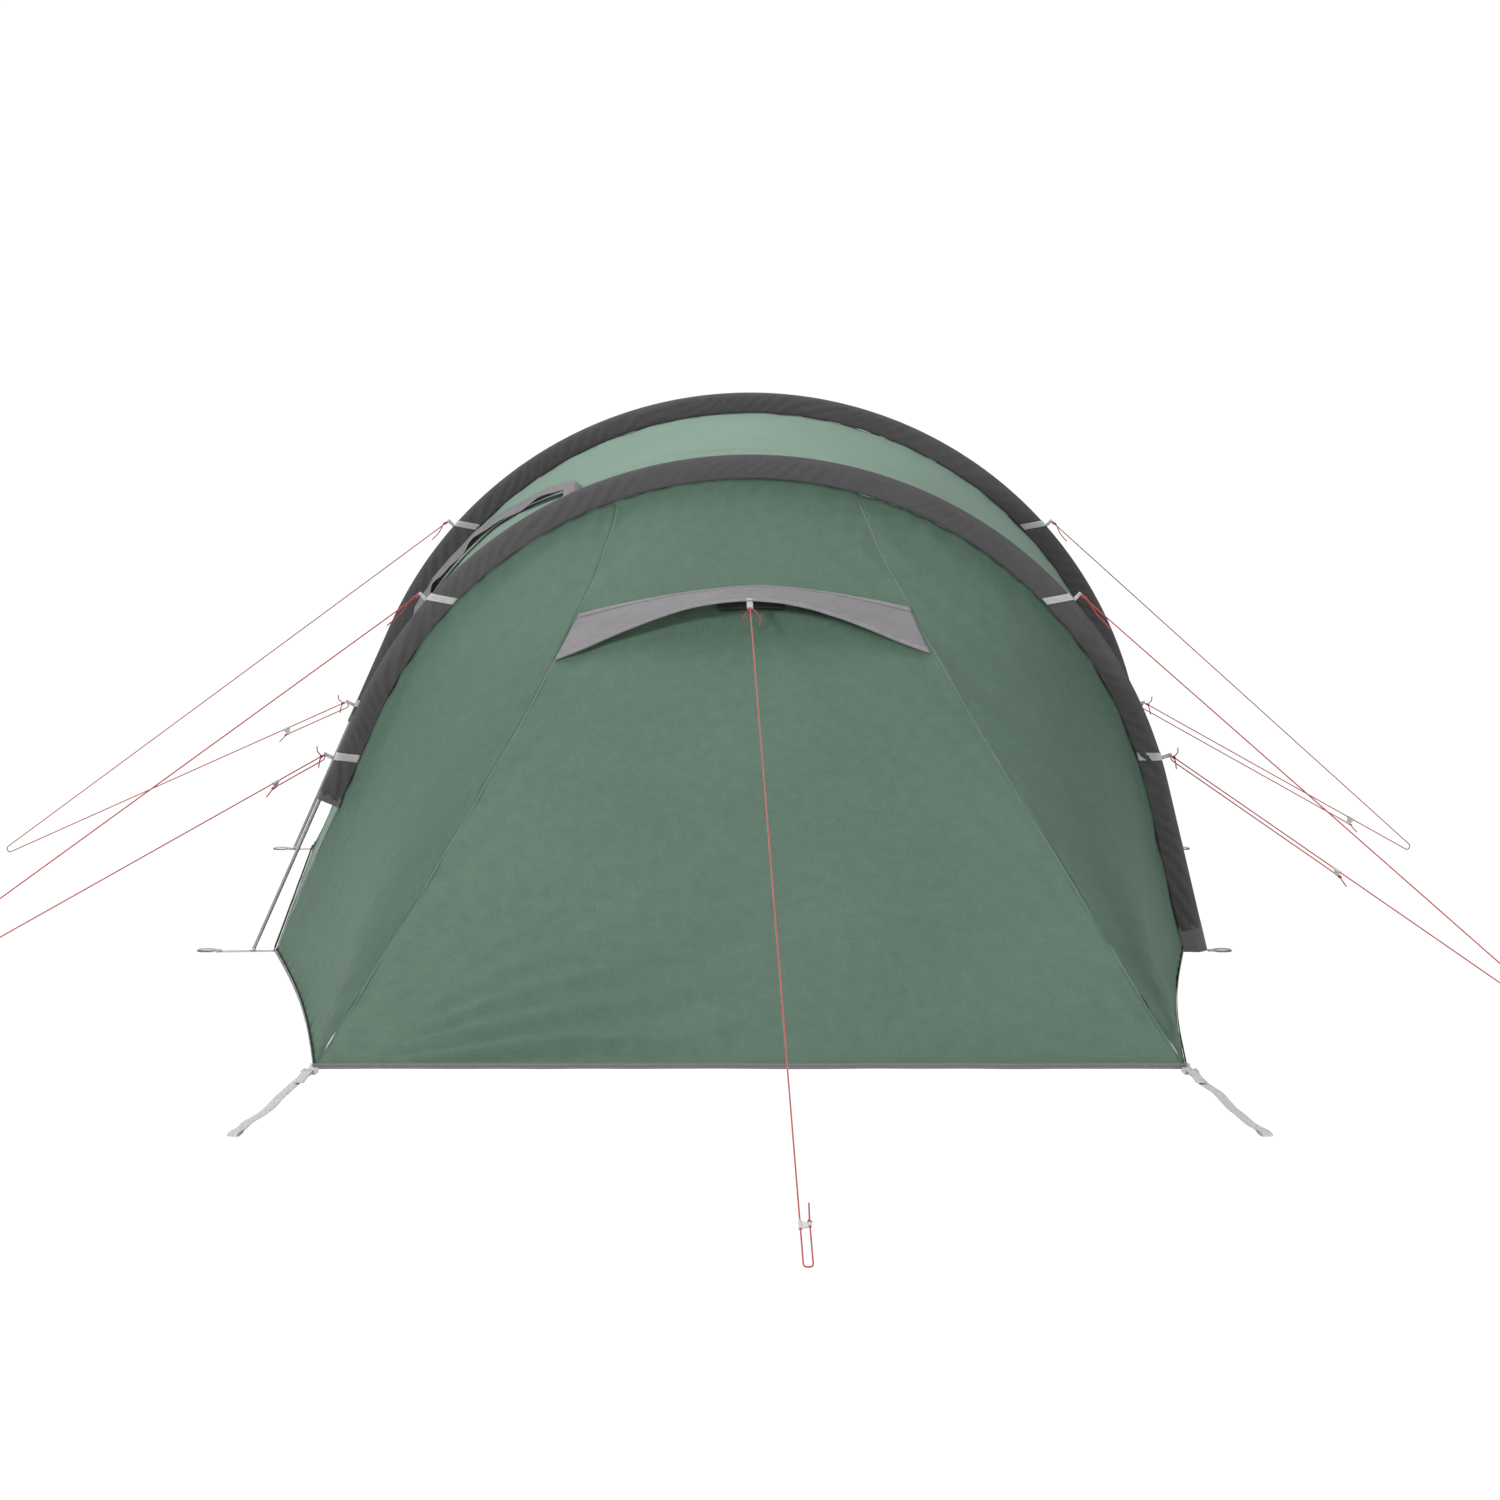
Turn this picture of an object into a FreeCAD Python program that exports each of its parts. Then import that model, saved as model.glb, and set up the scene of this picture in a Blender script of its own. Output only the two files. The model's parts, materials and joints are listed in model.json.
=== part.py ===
# Two-hoop tunnel tent: a flysheet on two fibreglass hoops, an inner tent, guylines and peg straps.
# Millimetres. X is across the tent, Y runs from the low rear end to the porch, Z is up.
# The origin is on the ground, on the centre plane, half way along the tent.
import FreeCAD
import Part
import math
import os

V = FreeCAD.Vector
LEFT, RIGHT = -1, 1
SIDES = (LEFT, RIGHT)
SIDE_NAME = {LEFT: "left", RIGHT: "right"}

# ---- hoops: each pole line is an arc on top of two straight legs ----
REAR_HOOP_Y = -675.0
HOOP_SPACING = 1500.0
HOOP_TOP = 1191.0            # height of the rear pole's centre line
HOOP_RADIUS = 1026.0         # of the rear pole's centre line
FRONT_HOOP_SCALE = 1.096     # the front hoop is the rear hoop enlarged about the ground line
# Where the facets of the canopy turn, in degrees from the crown. The legs start at the last one.
FACET_TURNS = {LEFT: (6.0, 17.0, 28.0, 42.0, 53.0, 60.0, 65.5),
               RIGHT: (6.0, 17.0, 28.0, 42.0, 53.0, 68.0, 76.0)}

# ---- flysheet ----
REAR_RUN = 1215.0            # from the rear hoop to the rear hem, along the ground
FRONT_RUN = 1065.0
REAR_HALF_WIDTH = 887.0
FRONT_HALF_WIDTH = 960.0
SKIN = 2.0                   # a stand-in thickness for coated fabric
SEAM_GAP = 1.0               # half the gap between two panels at a hoop
FLY_INSET = 50.0             # from the pole line in to the flysheet
HEM_WIDTH = 3.0
HEM_HEIGHT = 9.0
CLEAR = 0.3                  # between pieces that lie on each other
SEAT = 1.4                   # from the flysheet out to the sleeves sewn over it

# ---- pole sleeves and bands ----
SLEEVE_GAP = 12.0            # room for the pole between the sleeve's two layers
SLEEVE_WALL = 2.0
SLEEVE_OUTER = 17.0          # facet corners beyond the pole line, so the curved pole fits inside
LEFT_SLEEVE_END_Z = 386.0    # the left legs leave their sleeves here
BINDING_LENGTH = 14.0
POCKET_HEIGHT = 62.0
BAND_WIDTH = 20.0
BAND_THICK = 1.4
BAND_Z = {"rear": {"upper": 857.0, "lower": 476.0},
          "front": {"upper": 939.0, "lower": 425.0}}
TAB_LENGTH = 6.0
TAB_WIDTH = 9.0
TAB_TO_CORD = 7.5            # from a tab's end out to the cord's centre line

# ---- poles ----
POLE_R = 4.25
POLE_BORE_R = 2.2
FERRULE_R = 5.25
FERRULE_LENGTH = 60.0
FERRULE_CLEAR = 0.05
ARC_SECTIONS = 5
SHOCK_CORD_R = 1.25
TIP_R = 3.0
TIP_LENGTH = 24.0
TIP_HEAD_R = 5.0
TIP_HEAD_LENGTH = 9.0
FOOT_Z = 3.2                 # where a pole tip stands

# ---- side door, in the left wall between the hoops: distances from the rear hoop ----
DOOR_SILL_Z = 26.0
DOOR_GAP = 1.5
DOOR_EDGES = ((250.0, 1300.0), (250.0, 1300.0), (255.0, 1290.0), (285.0, 1235.0), (345.0, 1110.0),
              (470.0, 760.0))   # foot, then the left facet turns from the leg start upwards
FLAP_WIDTH = 42.0
ZIP_WIDTH = 6.0
ZIP_THICK = 1.2
SLIDER = (9.0, 14.0, 4.0)    # across the zip, along it, thick
PULL = (5.0, 22.0, 1.6)
SIDE_SLIDER_TRAVEL_START = 30.0

# ---- front door, in the porch's middle panel: shares of the slope from hoop to hem ----
FRONT_DOOR_TOP = 0.06
FRONT_DOOR_BOTTOM = 0.97
FRONT_DOOR_MARGIN = 60.0     # panel left beside the door

# ---- rear vent: shares of the slope from hoop to hem ----
VENT_TOP = 0.220
VENT_BOTTOM = 0.247
VENT_HALF_WIDTH = 75.0
HOOD_PEAK = 0.2056
HOOD_TOP_SIDE = 0.25
HOOD_LOW_SIDE = 0.33
HOOD_LOW_MIDDLE = 0.255
HOOD_TOP_HALF_WIDTH = 382.0
HOOD_LOW_HALF_WIDTH = 424.0
HOOD_LIFT = 42.0
STRUT_R = 2.0
STRUT_UNDER_HOOD = 10.0
HOOD_TAB_DROP = 3.0          # from the hood's edge down to its guy tab

# ---- peg straps ----
WEB_WIDTH = 20.0
WEB_THICK = 1.4
BUCKLE_WIDTH = WEB_WIDTH + 10.0
BUCKLE_LENGTH = 26.0
BUCKLE_RAIL = 4.0
BUCKLE_BAR = 2.2
BUCKLE_SLOT = 2.6
TAB_TO_BUCKLE = 14.0
STRAP_LENGTH = 490.0
STRAP_TAIL = 95.0
LOOP_LENGTH = 46.0
LOOP_HEIGHT = 8.6
STRAP_SPREAD = 8.0           # degrees that a corner strap turns away from the Y axis
FOOT_STRAP_REACH = {"rear": 135.0, "front": 60.0}   # beyond the pole
EYELET_R = 8.0
EYELET_HOLE_R = 4.2
EYELET_THICK = 2.0

# ---- guylines ----
CORD_R = 1.5
STRAND_SPACING = 16.0        # between the two strands that meet a runner
PEG_LOOP_SPACING = 16.0
RUNNER_THICK = 6.4
RUNNER_LENGTH = 21.0
RUNNER_ARM_LENGTH = 9.0
RUNNER_BORE_R = 1.9
RUNNER_WEB = 3.2

# ---- inner tent ----
INNER_INSET = 120.0
INNER_SKIN = 1.5
INNER_REAR_MARGIN = 190.0    # from the rear hem in to the groundsheet
INNER_CORNER_MARGIN = 50.0   # from the fly's rear corner in to the groundsheet's, across the tent
INNER_HOOP_MARGIN = 35.0
INNER_FRONT_Y = 400.0
INNER_FRONT_LEAN = 0.04      # the front wall leans in by this much per unit of height
BATHTUB_HEIGHT = 120.0
GROUNDSHEET_THICK = 2.0
INNER_DOOR_HALF_WIDTH = 360.0
INNER_DOOR_TOP_Z = 880.0
INNER_DOOR_CORNER = 170.0
HANGER_R = 3.0

FRONT_HOOP_Y = REAR_HOOP_Y + HOOP_SPACING
REAR_EDGE_Y = REAR_HOOP_Y - REAR_RUN
FRONT_EDGE_Y = FRONT_HOOP_Y + FRONT_RUN
HOOP_CENTRE_Z = HOOP_TOP - HOOP_RADIUS
INSIDE = V(0, 0, 100)        # a point that is inside every wall
UP = V(0, 0, 1)
TOUCHING = 1e-6              # points closer than this are one point


# ---------------------------------------------------------------- helpers
class Hoop:
    """One cross-section of the tent: the pole line at a given Y, and lines parallel to it."""

    def __init__(self, y):
        self.y = y
        share = (y - REAR_HOOP_Y) / HOOP_SPACING
        self.scale = 1.0 + share * (FRONT_HOOP_SCALE - 1.0)
        self.radius = self.scale * HOOP_RADIUS
        self.centre = V(0, y, self.scale * HOOP_CENTRE_Z)

    def point(self, turn, inset=0.0):
        angle = math.radians(turn)
        return self.centre + V(math.sin(angle), 0, math.cos(angle)) * (self.radius - inset)

    def leg_point(self, side, z, inset=0.0):
        turn = math.radians(FACET_TURNS[side][-1])
        top = self.point(side * FACET_TURNS[side][-1], inset)
        return V(top.x + side * (top.z - z) / math.tan(turn), self.y, z)

    def line(self, inset=0.0, foot_z=0.0):
        """The facet corners from the left foot over the crown to the right foot."""
        left = [self.point(-turn, inset) for turn in reversed(FACET_TURNS[LEFT])]
        right = [self.point(turn, inset) for turn in FACET_TURNS[RIGHT]]
        return [self.leg_point(LEFT, foot_z, inset)] + left + right + [self.leg_point(RIGHT, foot_z, inset)]

    def at_height(self, side, z, inset=0.0):
        """The point of the faceted line at a height, and the facet's downward direction there."""
        corners = self.line(inset)
        half = len(corners) // 2
        chain = corners[half:] if side == RIGHT else list(reversed(corners[:half]))
        for upper, lower in zip(chain, chain[1:]):
            if lower.z <= z <= upper.z:
                along = (lower - upper).normalize()
                return upper + along * ((upper.z - z) / -along.z), along


def outward(points):
    """The unit normal of a flat outline, on the side away from the tent's inside."""
    normal = (points[1] - points[0]).cross(points[2] - points[0]).normalize()
    middle = sum(points, V()) * (1.0 / len(points))
    return normal if normal.dot(middle - INSIDE) > 0 else normal * -1.0


def plate(points, thickness, direction=None):
    """A flat outline given a thickness, outwards unless a direction is named."""
    face = Part.Face(Part.makePolygon(points + [points[0]]))
    return face.extrude((direction or outward(points)) * thickness)


def skins(outlines, thickness=SKIN):
    return [plate(points, thickness) for points in outlines]


def lifted(points, distance):
    normal = outward(points)
    return [p + normal * distance for p in points]


def block(origin, along, across, length, width, height):
    """A box that starts at the middle of its end face's bottom edge, and rises along the third axis."""
    along = V(along).normalize()
    across = V(across).normalize()
    rise = along.cross(across)
    if rise.z < 0:
        rise = rise * -1.0
    start = origin - across * (width / 2.0)
    outline = [start, start + across * width, start + across * width + along * length, start + along * length]
    return plate(outline, height, rise)


def rod(start, end, radius):
    return Part.makeCylinder(radius, (end - start).Length, start, end - start)


def fused(shapes):
    return shapes[0].multiFuse(shapes[1:]).removeSplitter() if len(shapes) > 1 else shapes[0]


def save(node, shapes):
    """One STEP file for one node: a single solid, or a group of separate solids."""
    shapes = shapes if isinstance(shapes, list) else [shapes]
    solids = [solid for shape in shapes for solid in shape.Solids]
    shape = solids[0] if len(solids) == 1 else Part.makeCompound(solids)
    shape.exportStep("parts/" + node + ".step")


def hoop_path(hoop, start, end, inset=0.0):
    """The part of the smooth pole line between two distances from the left foot, as a wire."""
    left_foot = hoop.leg_point(LEFT, FOOT_Z, inset)
    right_foot = hoop.leg_point(RIGHT, FOOT_Z, inset)
    turns = (-FACET_TURNS[LEFT][-1], FACET_TURNS[RIGHT][-1])
    left_top = hoop.point(turns[0], inset)
    right_top = hoop.point(turns[1], inset)
    left_leg = (left_top - left_foot).Length
    arc = math.radians(turns[1] - turns[0]) * (hoop.radius - inset)
    right_leg = (right_foot - right_top).Length
    edges = []
    if start < left_leg:
        direction = (left_top - left_foot).normalize()
        edges.append(Part.LineSegment(left_foot + direction * start,
                                      left_foot + direction * min(end, left_leg)).toShape())
    arc_start, arc_end = max(start - left_leg, 0.0), min(end - left_leg, arc)
    if arc_end > arc_start + 1e-6:
        places = [turns[0] + (turns[1] - turns[0]) * share / arc
                  for share in (arc_start, (arc_start + arc_end) / 2.0, arc_end)]
        edges.append(Part.Arc(*[hoop.point(turn, inset) for turn in places]).toShape())
    if end > left_leg + arc + 1e-6:
        direction = (right_foot - right_top).normalize()
        edges.append(Part.LineSegment(right_top + direction * max(start - left_leg - arc, 0.0),
                                      right_top + direction * (end - left_leg - arc)).toShape())
    lengths = {"left_leg": left_leg, "arc": arc, "right_leg": right_leg}
    return (Part.Wire(edges) if edges else None), lengths


def swept(path, radius):
    first = path.OrderedEdges[0]
    start = first.valueAt(first.FirstParameter)
    tangent = first.tangentAt(first.FirstParameter)
    if (path.OrderedVertexes[0].Point - start).Length > 1e-6:
        start = first.valueAt(first.LastParameter)
        tangent = first.tangentAt(first.LastParameter) * -1.0
    ring = Part.Wire(Part.makeCircle(radius, start, tangent))
    return path.makePipe(Part.Face(ring))


def tube(path, radius, bore_radius):
    return swept(path, radius).cut(swept(path, bore_radius))


def rounded_route(points, radii):
    """A wire of straight runs with a tangent arc at each inner point."""
    edges, here = [], points[0]
    for before, corner, after, radius in zip(points, points[1:], points[2:], radii):
        into = (corner - before).normalize()
        out = (after - corner).normalize()
        turn = into.getAngle(out)
        setback = radius * math.tan(turn / 2.0)
        start, end = corner - into * setback, corner + out * setback
        middle_direction = (out - into).normalize()
        middle = corner + middle_direction * (radius / math.cos(turn / 2.0) - radius)
        if (start - here).Length > TOUCHING:
            edges.append(Part.LineSegment(here, start).toShape())
        edges.append(Part.Arc(start, middle, end).toShape())
        here = end
    edges.append(Part.LineSegment(here, points[-1]).toShape())
    return Part.Wire(edges)


REAR = Hoop(REAR_HOOP_Y)
FRONT = Hoop(FRONT_HOOP_Y)
HOOPS = {"rear": REAR, "front": FRONT}


# ---------------------------------------------------------------- flysheet
class End:
    """A sloping end: a middle panel from the hoop's crown to the hem, and a fan at each side."""

    def __init__(self, hoop, corner_y, half_width, inset, corner_z=0.0, lean=0.0, foot_z=0.0):
        self.line = hoop.line(inset, foot_z)
        self.corners = {side: V(side * half_width - side * lean, corner_y, corner_z) for side in SIDES}
        middle = len(self.line) // 2
        self.crown = {LEFT: self.line[middle - 1], RIGHT: self.line[middle]}

    def place(self, share, x):
        """A point of the middle panel's plane, by its share of the slope down from the crown."""
        top, low = self.crown[RIGHT], self.corners[RIGHT]
        return V(x, top.y + (low.y - top.y) * share, top.z + (low.z - top.z) * share)

    def half_width(self, share):
        return self.crown[RIGHT].x + (self.corners[RIGHT].x - self.crown[RIGHT].x) * share

    def band(self, share_from, share_to, inner=None):
        """A level piece of the middle panel, or its two outer parts when an inner margin is named."""
        a, b = self.half_width(share_from), self.half_width(share_to)
        if inner is None:
            return [[self.place(share_from, -a), self.place(share_from, a),
                     self.place(share_to, b), self.place(share_to, -b)]]
        return [[self.place(share_from, s * inner(share_from)), self.place(share_from, s * a),
                 self.place(share_to, s * b), self.place(share_to, s * inner(share_to))] for s in SIDES]

    def fan(self, side, first, last):
        """Triangles from the hem's corner to the hoop, counted in facets from the crown."""
        middle = len(self.line) // 2
        chain = self.line[middle:] if side == RIGHT else list(reversed(self.line[:middle]))
        return [[self.corners[side], chain[i], chain[i + 1]] for i in range(first, last)]


FANS = len(FACET_TURNS[LEFT])
REAR_END = End(Hoop(REAR_HOOP_Y - SEAM_GAP), REAR_EDGE_Y, REAR_HALF_WIDTH, FLY_INSET)
FRONT_END = End(Hoop(FRONT_HOOP_Y + SEAM_GAP), FRONT_EDGE_Y, FRONT_HALF_WIDTH, FLY_INSET)


def rear_panels():
    vent = REAR_END.band(VENT_TOP, VENT_BOTTOM, lambda share: VENT_HALF_WIDTH)
    middle = REAR_END.band(0.0, VENT_TOP) + vent + REAR_END.band(VENT_BOTTOM, 1.0)
    wings = REAR_END.fan(LEFT, 0, 1) + REAR_END.fan(RIGHT, 0, 1)
    save("rear_centre_panel", skins(middle + wings))
    for side in SIDES:
        save("rear_" + SIDE_NAME[side] + "_gusset", skins(REAR_END.fan(side, 1, FANS)))


def front_door_half_width(share):
    return FRONT_END.half_width(share) - FRONT_DOOR_MARGIN


def front_panels():
    beside = FRONT_END.band(FRONT_DOOR_TOP, FRONT_DOOR_BOTTOM, front_door_half_width)
    middle = FRONT_END.band(0.0, FRONT_DOOR_TOP) + beside + FRONT_END.band(FRONT_DOOR_BOTTOM, 1.0)
    wings = FRONT_END.fan(LEFT, 0, 1) + FRONT_END.fan(RIGHT, 0, 1)
    save("front_centre_panel", skins(middle + wings))
    for side in SIDES:
        save("front_" + SIDE_NAME[side] + "_gusset", skins(FRONT_END.fan(side, 1, FANS)))


def front_door_outline(margin):
    """The door's corners, drawn in from its opening by a margin."""
    slope = (FRONT_END.place(1, 0) - FRONT_END.place(0, 0)).Length
    top, low = FRONT_DOOR_TOP + margin / slope, FRONT_DOOR_BOTTOM - margin / slope
    a, b = front_door_half_width(top) - margin, front_door_half_width(low) - margin
    return [FRONT_END.place(top, -a), FRONT_END.place(top, a), FRONT_END.place(low, b), FRONT_END.place(low, -b)]


def zip_strip(upper, lower, inward):
    """A strip of zip beside an edge, lying on the outside of the fabric."""
    return lifted([upper, lower, lower + inward * ZIP_WIDTH, upper + inward * ZIP_WIDTH], SKIN + CLEAR)


def front_door():
    outline = front_door_outline(DOOR_GAP)
    save("front_door", skins([outline]))
    strips = []
    inset = front_door_outline(DOOR_GAP + ZIP_WIDTH / 2.0)
    for upper, lower, side in ((inset[0], inset[3], LEFT), (inset[1], inset[2], RIGHT)):
        strips.append(zip_strip(upper, lower, V(-side, 0, 0)))
    save("front_door_zips", skins(strips, ZIP_THICK))


def zip_slider(place, along, out):
    """A slider body with its pull, centred on a place, lying on the outside of the zip."""
    width, length, thick = SLIDER
    across = along.cross(out).normalize()
    body = plate([place + along * a + across * b for a, b in
                  ((-length / 2, -width / 2), (-length / 2, width / 2),
                   (length / 2, width / 2), (length / 2, -width / 2))], thick, out)
    pull_width, pull_length, pull_thick = PULL
    hung = place + out * (thick / 3.0)
    pull = plate([hung - along * (length / 2.0 - 1.0) + along * a + across * b for a, b in
                  ((0, -pull_width / 2), (0, pull_width / 2),
                   (-pull_length, pull_width / 2), (-pull_length, -pull_width / 2))], pull_thick, out)
    return fused([body, pull])


def front_zip_slider():
    outline = front_door_outline(-SLIDER[0])
    top, low = outline[1], outline[2]
    along = (top - low).normalize()
    out = outward(outline)
    place = low + along * (PULL[1] + SLIDER[1]) + out * (SKIN + CLEAR)
    save("front_zip_slider", zip_slider(place, along, out))
    return place, along


def left_chain(y, inset, foot_z=0.0):
    """The left facet corners at one Y, from the foot up to the crown."""
    return Hoop(y).line(inset, foot_z)[:len(FACET_TURNS[LEFT]) + 1]


def tunnel():
    y_rear, y_front = REAR_HOOP_Y + SEAM_GAP, FRONT_HOOP_Y - SEAM_GAP
    rear_line, front_line = Hoop(y_rear).line(FLY_INSET), Hoop(y_front).line(FLY_INSET)
    outlines = []
    for i in range(len(rear_line) - 1):
        if i >= len(DOOR_EDGES) - 1:
            outlines.append([rear_line[i], rear_line[i + 1], front_line[i + 1], front_line[i]])
            continue
        lower = [REAR_HOOP_Y + edge for edge in DOOR_EDGES[i]]
        upper = [REAR_HOOP_Y + edge for edge in DOOR_EDGES[i + 1]]
        for end_line, edge in ((rear_line, 0), (front_line, 1)):
            outlines.append([end_line[i], end_line[i + 1],
                             left_chain(upper[edge], FLY_INSET)[i + 1], left_chain(lower[edge], FLY_INSET)[i]])
    rear_foot, front_foot = [REAR_HOOP_Y + edge for edge in DOOR_EDGES[0]]
    outlines.append([left_chain(rear_foot, FLY_INSET)[0], left_chain(front_foot, FLY_INSET)[0],
                     left_chain(front_foot, FLY_INSET, DOOR_SILL_Z)[0],
                     left_chain(rear_foot, FLY_INSET, DOOR_SILL_Z)[0]])
    save("tunnel_panel", skins(outlines))


def door_corners(gap, sill_z, inset=FLY_INSET):
    """Rear and front corners of the side door at each level, drawn in from its opening by a gap."""
    rear = [left_chain(REAR_HOOP_Y + a + gap, inset, sill_z)[i] for i, (a, _) in enumerate(DOOR_EDGES)]
    front = [left_chain(REAR_HOOP_Y + b - gap, inset, sill_z)[i] for i, (_, b) in enumerate(DOOR_EDGES)]
    drop = (rear[-2] - rear[-1]).normalize() * gap
    rear[-1] = rear[-1] + drop
    front[-1] = front[-1] + drop
    return rear, front


def side_door():
    rear, front = door_corners(DOOR_GAP, DOOR_SILL_Z + DOOR_GAP)
    facets = [[rear[i], rear[i + 1], front[i + 1], front[i]] for i in range(len(rear) - 1)]
    save("side_door", skins(facets))
    strips = []
    for chain, sign in ((rear, 1), (front, -1)):
        for i in range(len(chain) - 1):
            facet = facets[i]
            inward = V(0, sign, 0)
            inward = (inward - outward(facet) * inward.dot(outward(facet))).normalize()
            shift = inward * (ZIP_WIDTH / 2.0)
            strips.append(zip_strip(chain[i + 1] + shift, chain[i] + shift, inward))
    save("side_door_zip", skins(strips, ZIP_THICK))
    low_rear, low_front = rear[0], front[0]
    hinge = low_rear + outward(facets[0]) * SKIN
    return hinge, (low_rear - low_front).normalize()


def storm_flap():
    """A flap over the top of the side door's zip, outside the door, so that the door swings clear."""
    strips = []
    for edge, sign in ((0, -1), (1, 1)):
        for i in range(1, len(DOOR_EDGES) - 1):
            y_low, y_high = REAR_HOOP_Y + DOOR_EDGES[i][edge], REAR_HOOP_Y + DOOR_EDGES[i + 1][edge]
            near = [left_chain(y_low, FLY_INSET)[i], left_chain(y_high, FLY_INSET)[i + 1]]
            far = [left_chain(y_low + sign * FLAP_WIDTH, FLY_INSET)[i],
                   left_chain(y_high + sign * FLAP_WIDTH, FLY_INSET)[i + 1]]
            strips.append(lifted([near[0], near[1], far[1], far[0]], SKIN + CLEAR))
    top = len(DOOR_EDGES) - 1
    y_a, y_b = [REAR_HOOP_Y + edge for edge in DOOR_EDGES[-1]]
    low = [left_chain(y, FLY_INSET)[top] for y in (y_a - FLAP_WIDTH, y_b + FLAP_WIDTH)]
    high = [left_chain(y, FLY_INSET)[top + 1] for y in (y_a - FLAP_WIDTH, y_b + FLAP_WIDTH)]
    share = FLAP_WIDTH / (high[0] - low[0]).Length
    strips.append(lifted([low[0], low[1], low[1] + (high[1] - low[1]) * share,
                          low[0] + (high[0] - low[0]) * share], SKIN + CLEAR))
    save("side_door_storm_flap", skins(strips, ZIP_THICK))


def side_zip_slider():
    y = REAR_HOOP_Y + DOOR_EDGES[0][1] + SLIDER[0]
    chain = left_chain(y, FLY_INSET)
    out = outward([chain[0], chain[1], left_chain(y + HOOP_SPACING, FLY_INSET)[0]])
    along = (chain[1] - chain[0]).normalize()
    place = chain[0] + along * (SIDE_SLIDER_TRAVEL_START + PULL[1]) + out * (SKIN + CLEAR)
    save("side_zip_slider", zip_slider(place, along, out))
    return place, along


def rear_vent():
    out = outward(REAR_END.band(0, 1)[0])
    mesh = [REAR_END.place(VENT_TOP, -VENT_HALF_WIDTH + CLEAR), REAR_END.place(VENT_TOP, VENT_HALF_WIDTH - CLEAR),
            REAR_END.place(VENT_BOTTOM, VENT_HALF_WIDTH - CLEAR),
            REAR_END.place(VENT_BOTTOM, -VENT_HALF_WIDTH + CLEAR)]
    slope = (mesh[3] - mesh[0]).normalize()
    mesh = [mesh[0] + slope * CLEAR, mesh[1] + slope * CLEAR, mesh[2] - slope * CLEAR, mesh[3] - slope * CLEAR]
    save("rear_vent_mesh", plate(mesh, SKIN / 2.0, out))
    base = out * (SKIN + CLEAR)
    peak = REAR_END.place(HOOD_PEAK, 0) + base
    brow = REAR_END.place(HOOD_LOW_MIDDLE, 0) + base + out * HOOD_LIFT
    pieces = []
    for side in SIDES:
        top = REAR_END.place(HOOD_TOP_SIDE, side * HOOD_TOP_HALF_WIDTH) + base
        low = REAR_END.place(HOOD_LOW_SIDE, side * HOOD_LOW_HALF_WIDTH) + base
        pieces.append(plate([peak, brow, top], SKIN, out))
        pieces.append(plate([top, brow, low], SKIN, out))
    save("rear_vent_hood", pieces)
    foot = REAR_END.place(VENT_TOP, 0) + out * (SKIN + STRUT_R) - slope * 4.0 * STRUT_R
    head = brow - out * STRUT_UNDER_HOOD - slope * 4.0 * STRUT_R
    save("rear_vent_strut", rod(foot, head, STRUT_R))
    tab = block(brow + slope * HOOD_TAB_DROP, slope, V(1, 0, 0), TAB_LENGTH, TAB_WIDTH, BAND_THICK)
    save("rear_vent_guy_tab", tab)
    return brow + slope * (HOOD_TAB_DROP + TAB_LENGTH + TAB_TO_CORD) + out * (BAND_THICK / 2.0)


def hem_bar(start, end):
    """A strip of binding on the ground, along the outside of a panel's bottom edge."""
    along = (end - start).normalize()
    across = along.cross(UP)
    if across.dot((start + end) * 0.5) < 0:
        across = across * -1.0
    shift = across * (SKIN + HEM_WIDTH / 2.0 + 1.0)
    return block(start + shift, along, across, (end - start).Length, HEM_WIDTH, HEM_HEIGHT)


def hems():
    bars = []
    for end in (REAR_END, FRONT_END):
        left, right = end.corners[LEFT], end.corners[RIGHT]
        trim = V(WEB_WIDTH, 0, 0)
        bars.append(hem_bar(left + trim, right - trim))
        for side, foot in ((LEFT, end.line[0]), (RIGHT, end.line[-1])):
            away = (foot - end.corners[side]).normalize()
            bars.append(hem_bar(end.corners[side] + away * WEB_WIDTH, foot - away * WEB_WIDTH))
    rear_line, front_line = REAR.line(FLY_INSET), FRONT.line(FLY_INSET)
    for i in (0, -1):
        away = (front_line[i] - rear_line[i]).normalize()
        bars.append(hem_bar(rear_line[i] + away * WEB_WIDTH, front_line[i] - away * WEB_WIDTH))
    save("hem_bindings", bars)


# ---------------------------------------------------------------- sleeves and bands
def sleeve_chain(hoop, inset, left_foot_z, right_foot_z):
    corners = hoop.line(inset)
    corners[0] = hoop.leg_point(LEFT, left_foot_z, inset)
    corners[-1] = hoop.leg_point(RIGHT, right_foot_z, inset)
    return corners


def sleeve_layers(hoop, left_foot_z, right_foot_z):
    """Two fabric layers and the outer edge between them, facet by facet."""
    inner = sleeve_chain(hoop, FLY_INSET - SKIN - SEAT, left_foot_z, right_foot_z)
    edge = sleeve_chain(hoop, SLEEVE_WALL - SLEEVE_OUTER, left_foot_z, right_foot_z)
    outer = sleeve_chain(hoop, -SLEEVE_OUTER, left_foot_z, right_foot_z)
    pieces = []
    half = SLEEVE_GAP / 2.0
    for i in range(len(inner) - 1):
        layer = [inner[i], inner[i + 1], outer[i + 1], outer[i]]
        cap = [edge[i], edge[i + 1], outer[i + 1], outer[i]]
        for start in (half, -half - SLEEVE_WALL):
            pieces.append(plate([p + V(0, start, 0) for p in layer], SLEEVE_WALL, V(0, 1, 0)))
        pieces.append(plate([p + V(0, -half, 0) for p in cap], SLEEVE_GAP, V(0, 1, 0)))
    return pieces


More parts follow.
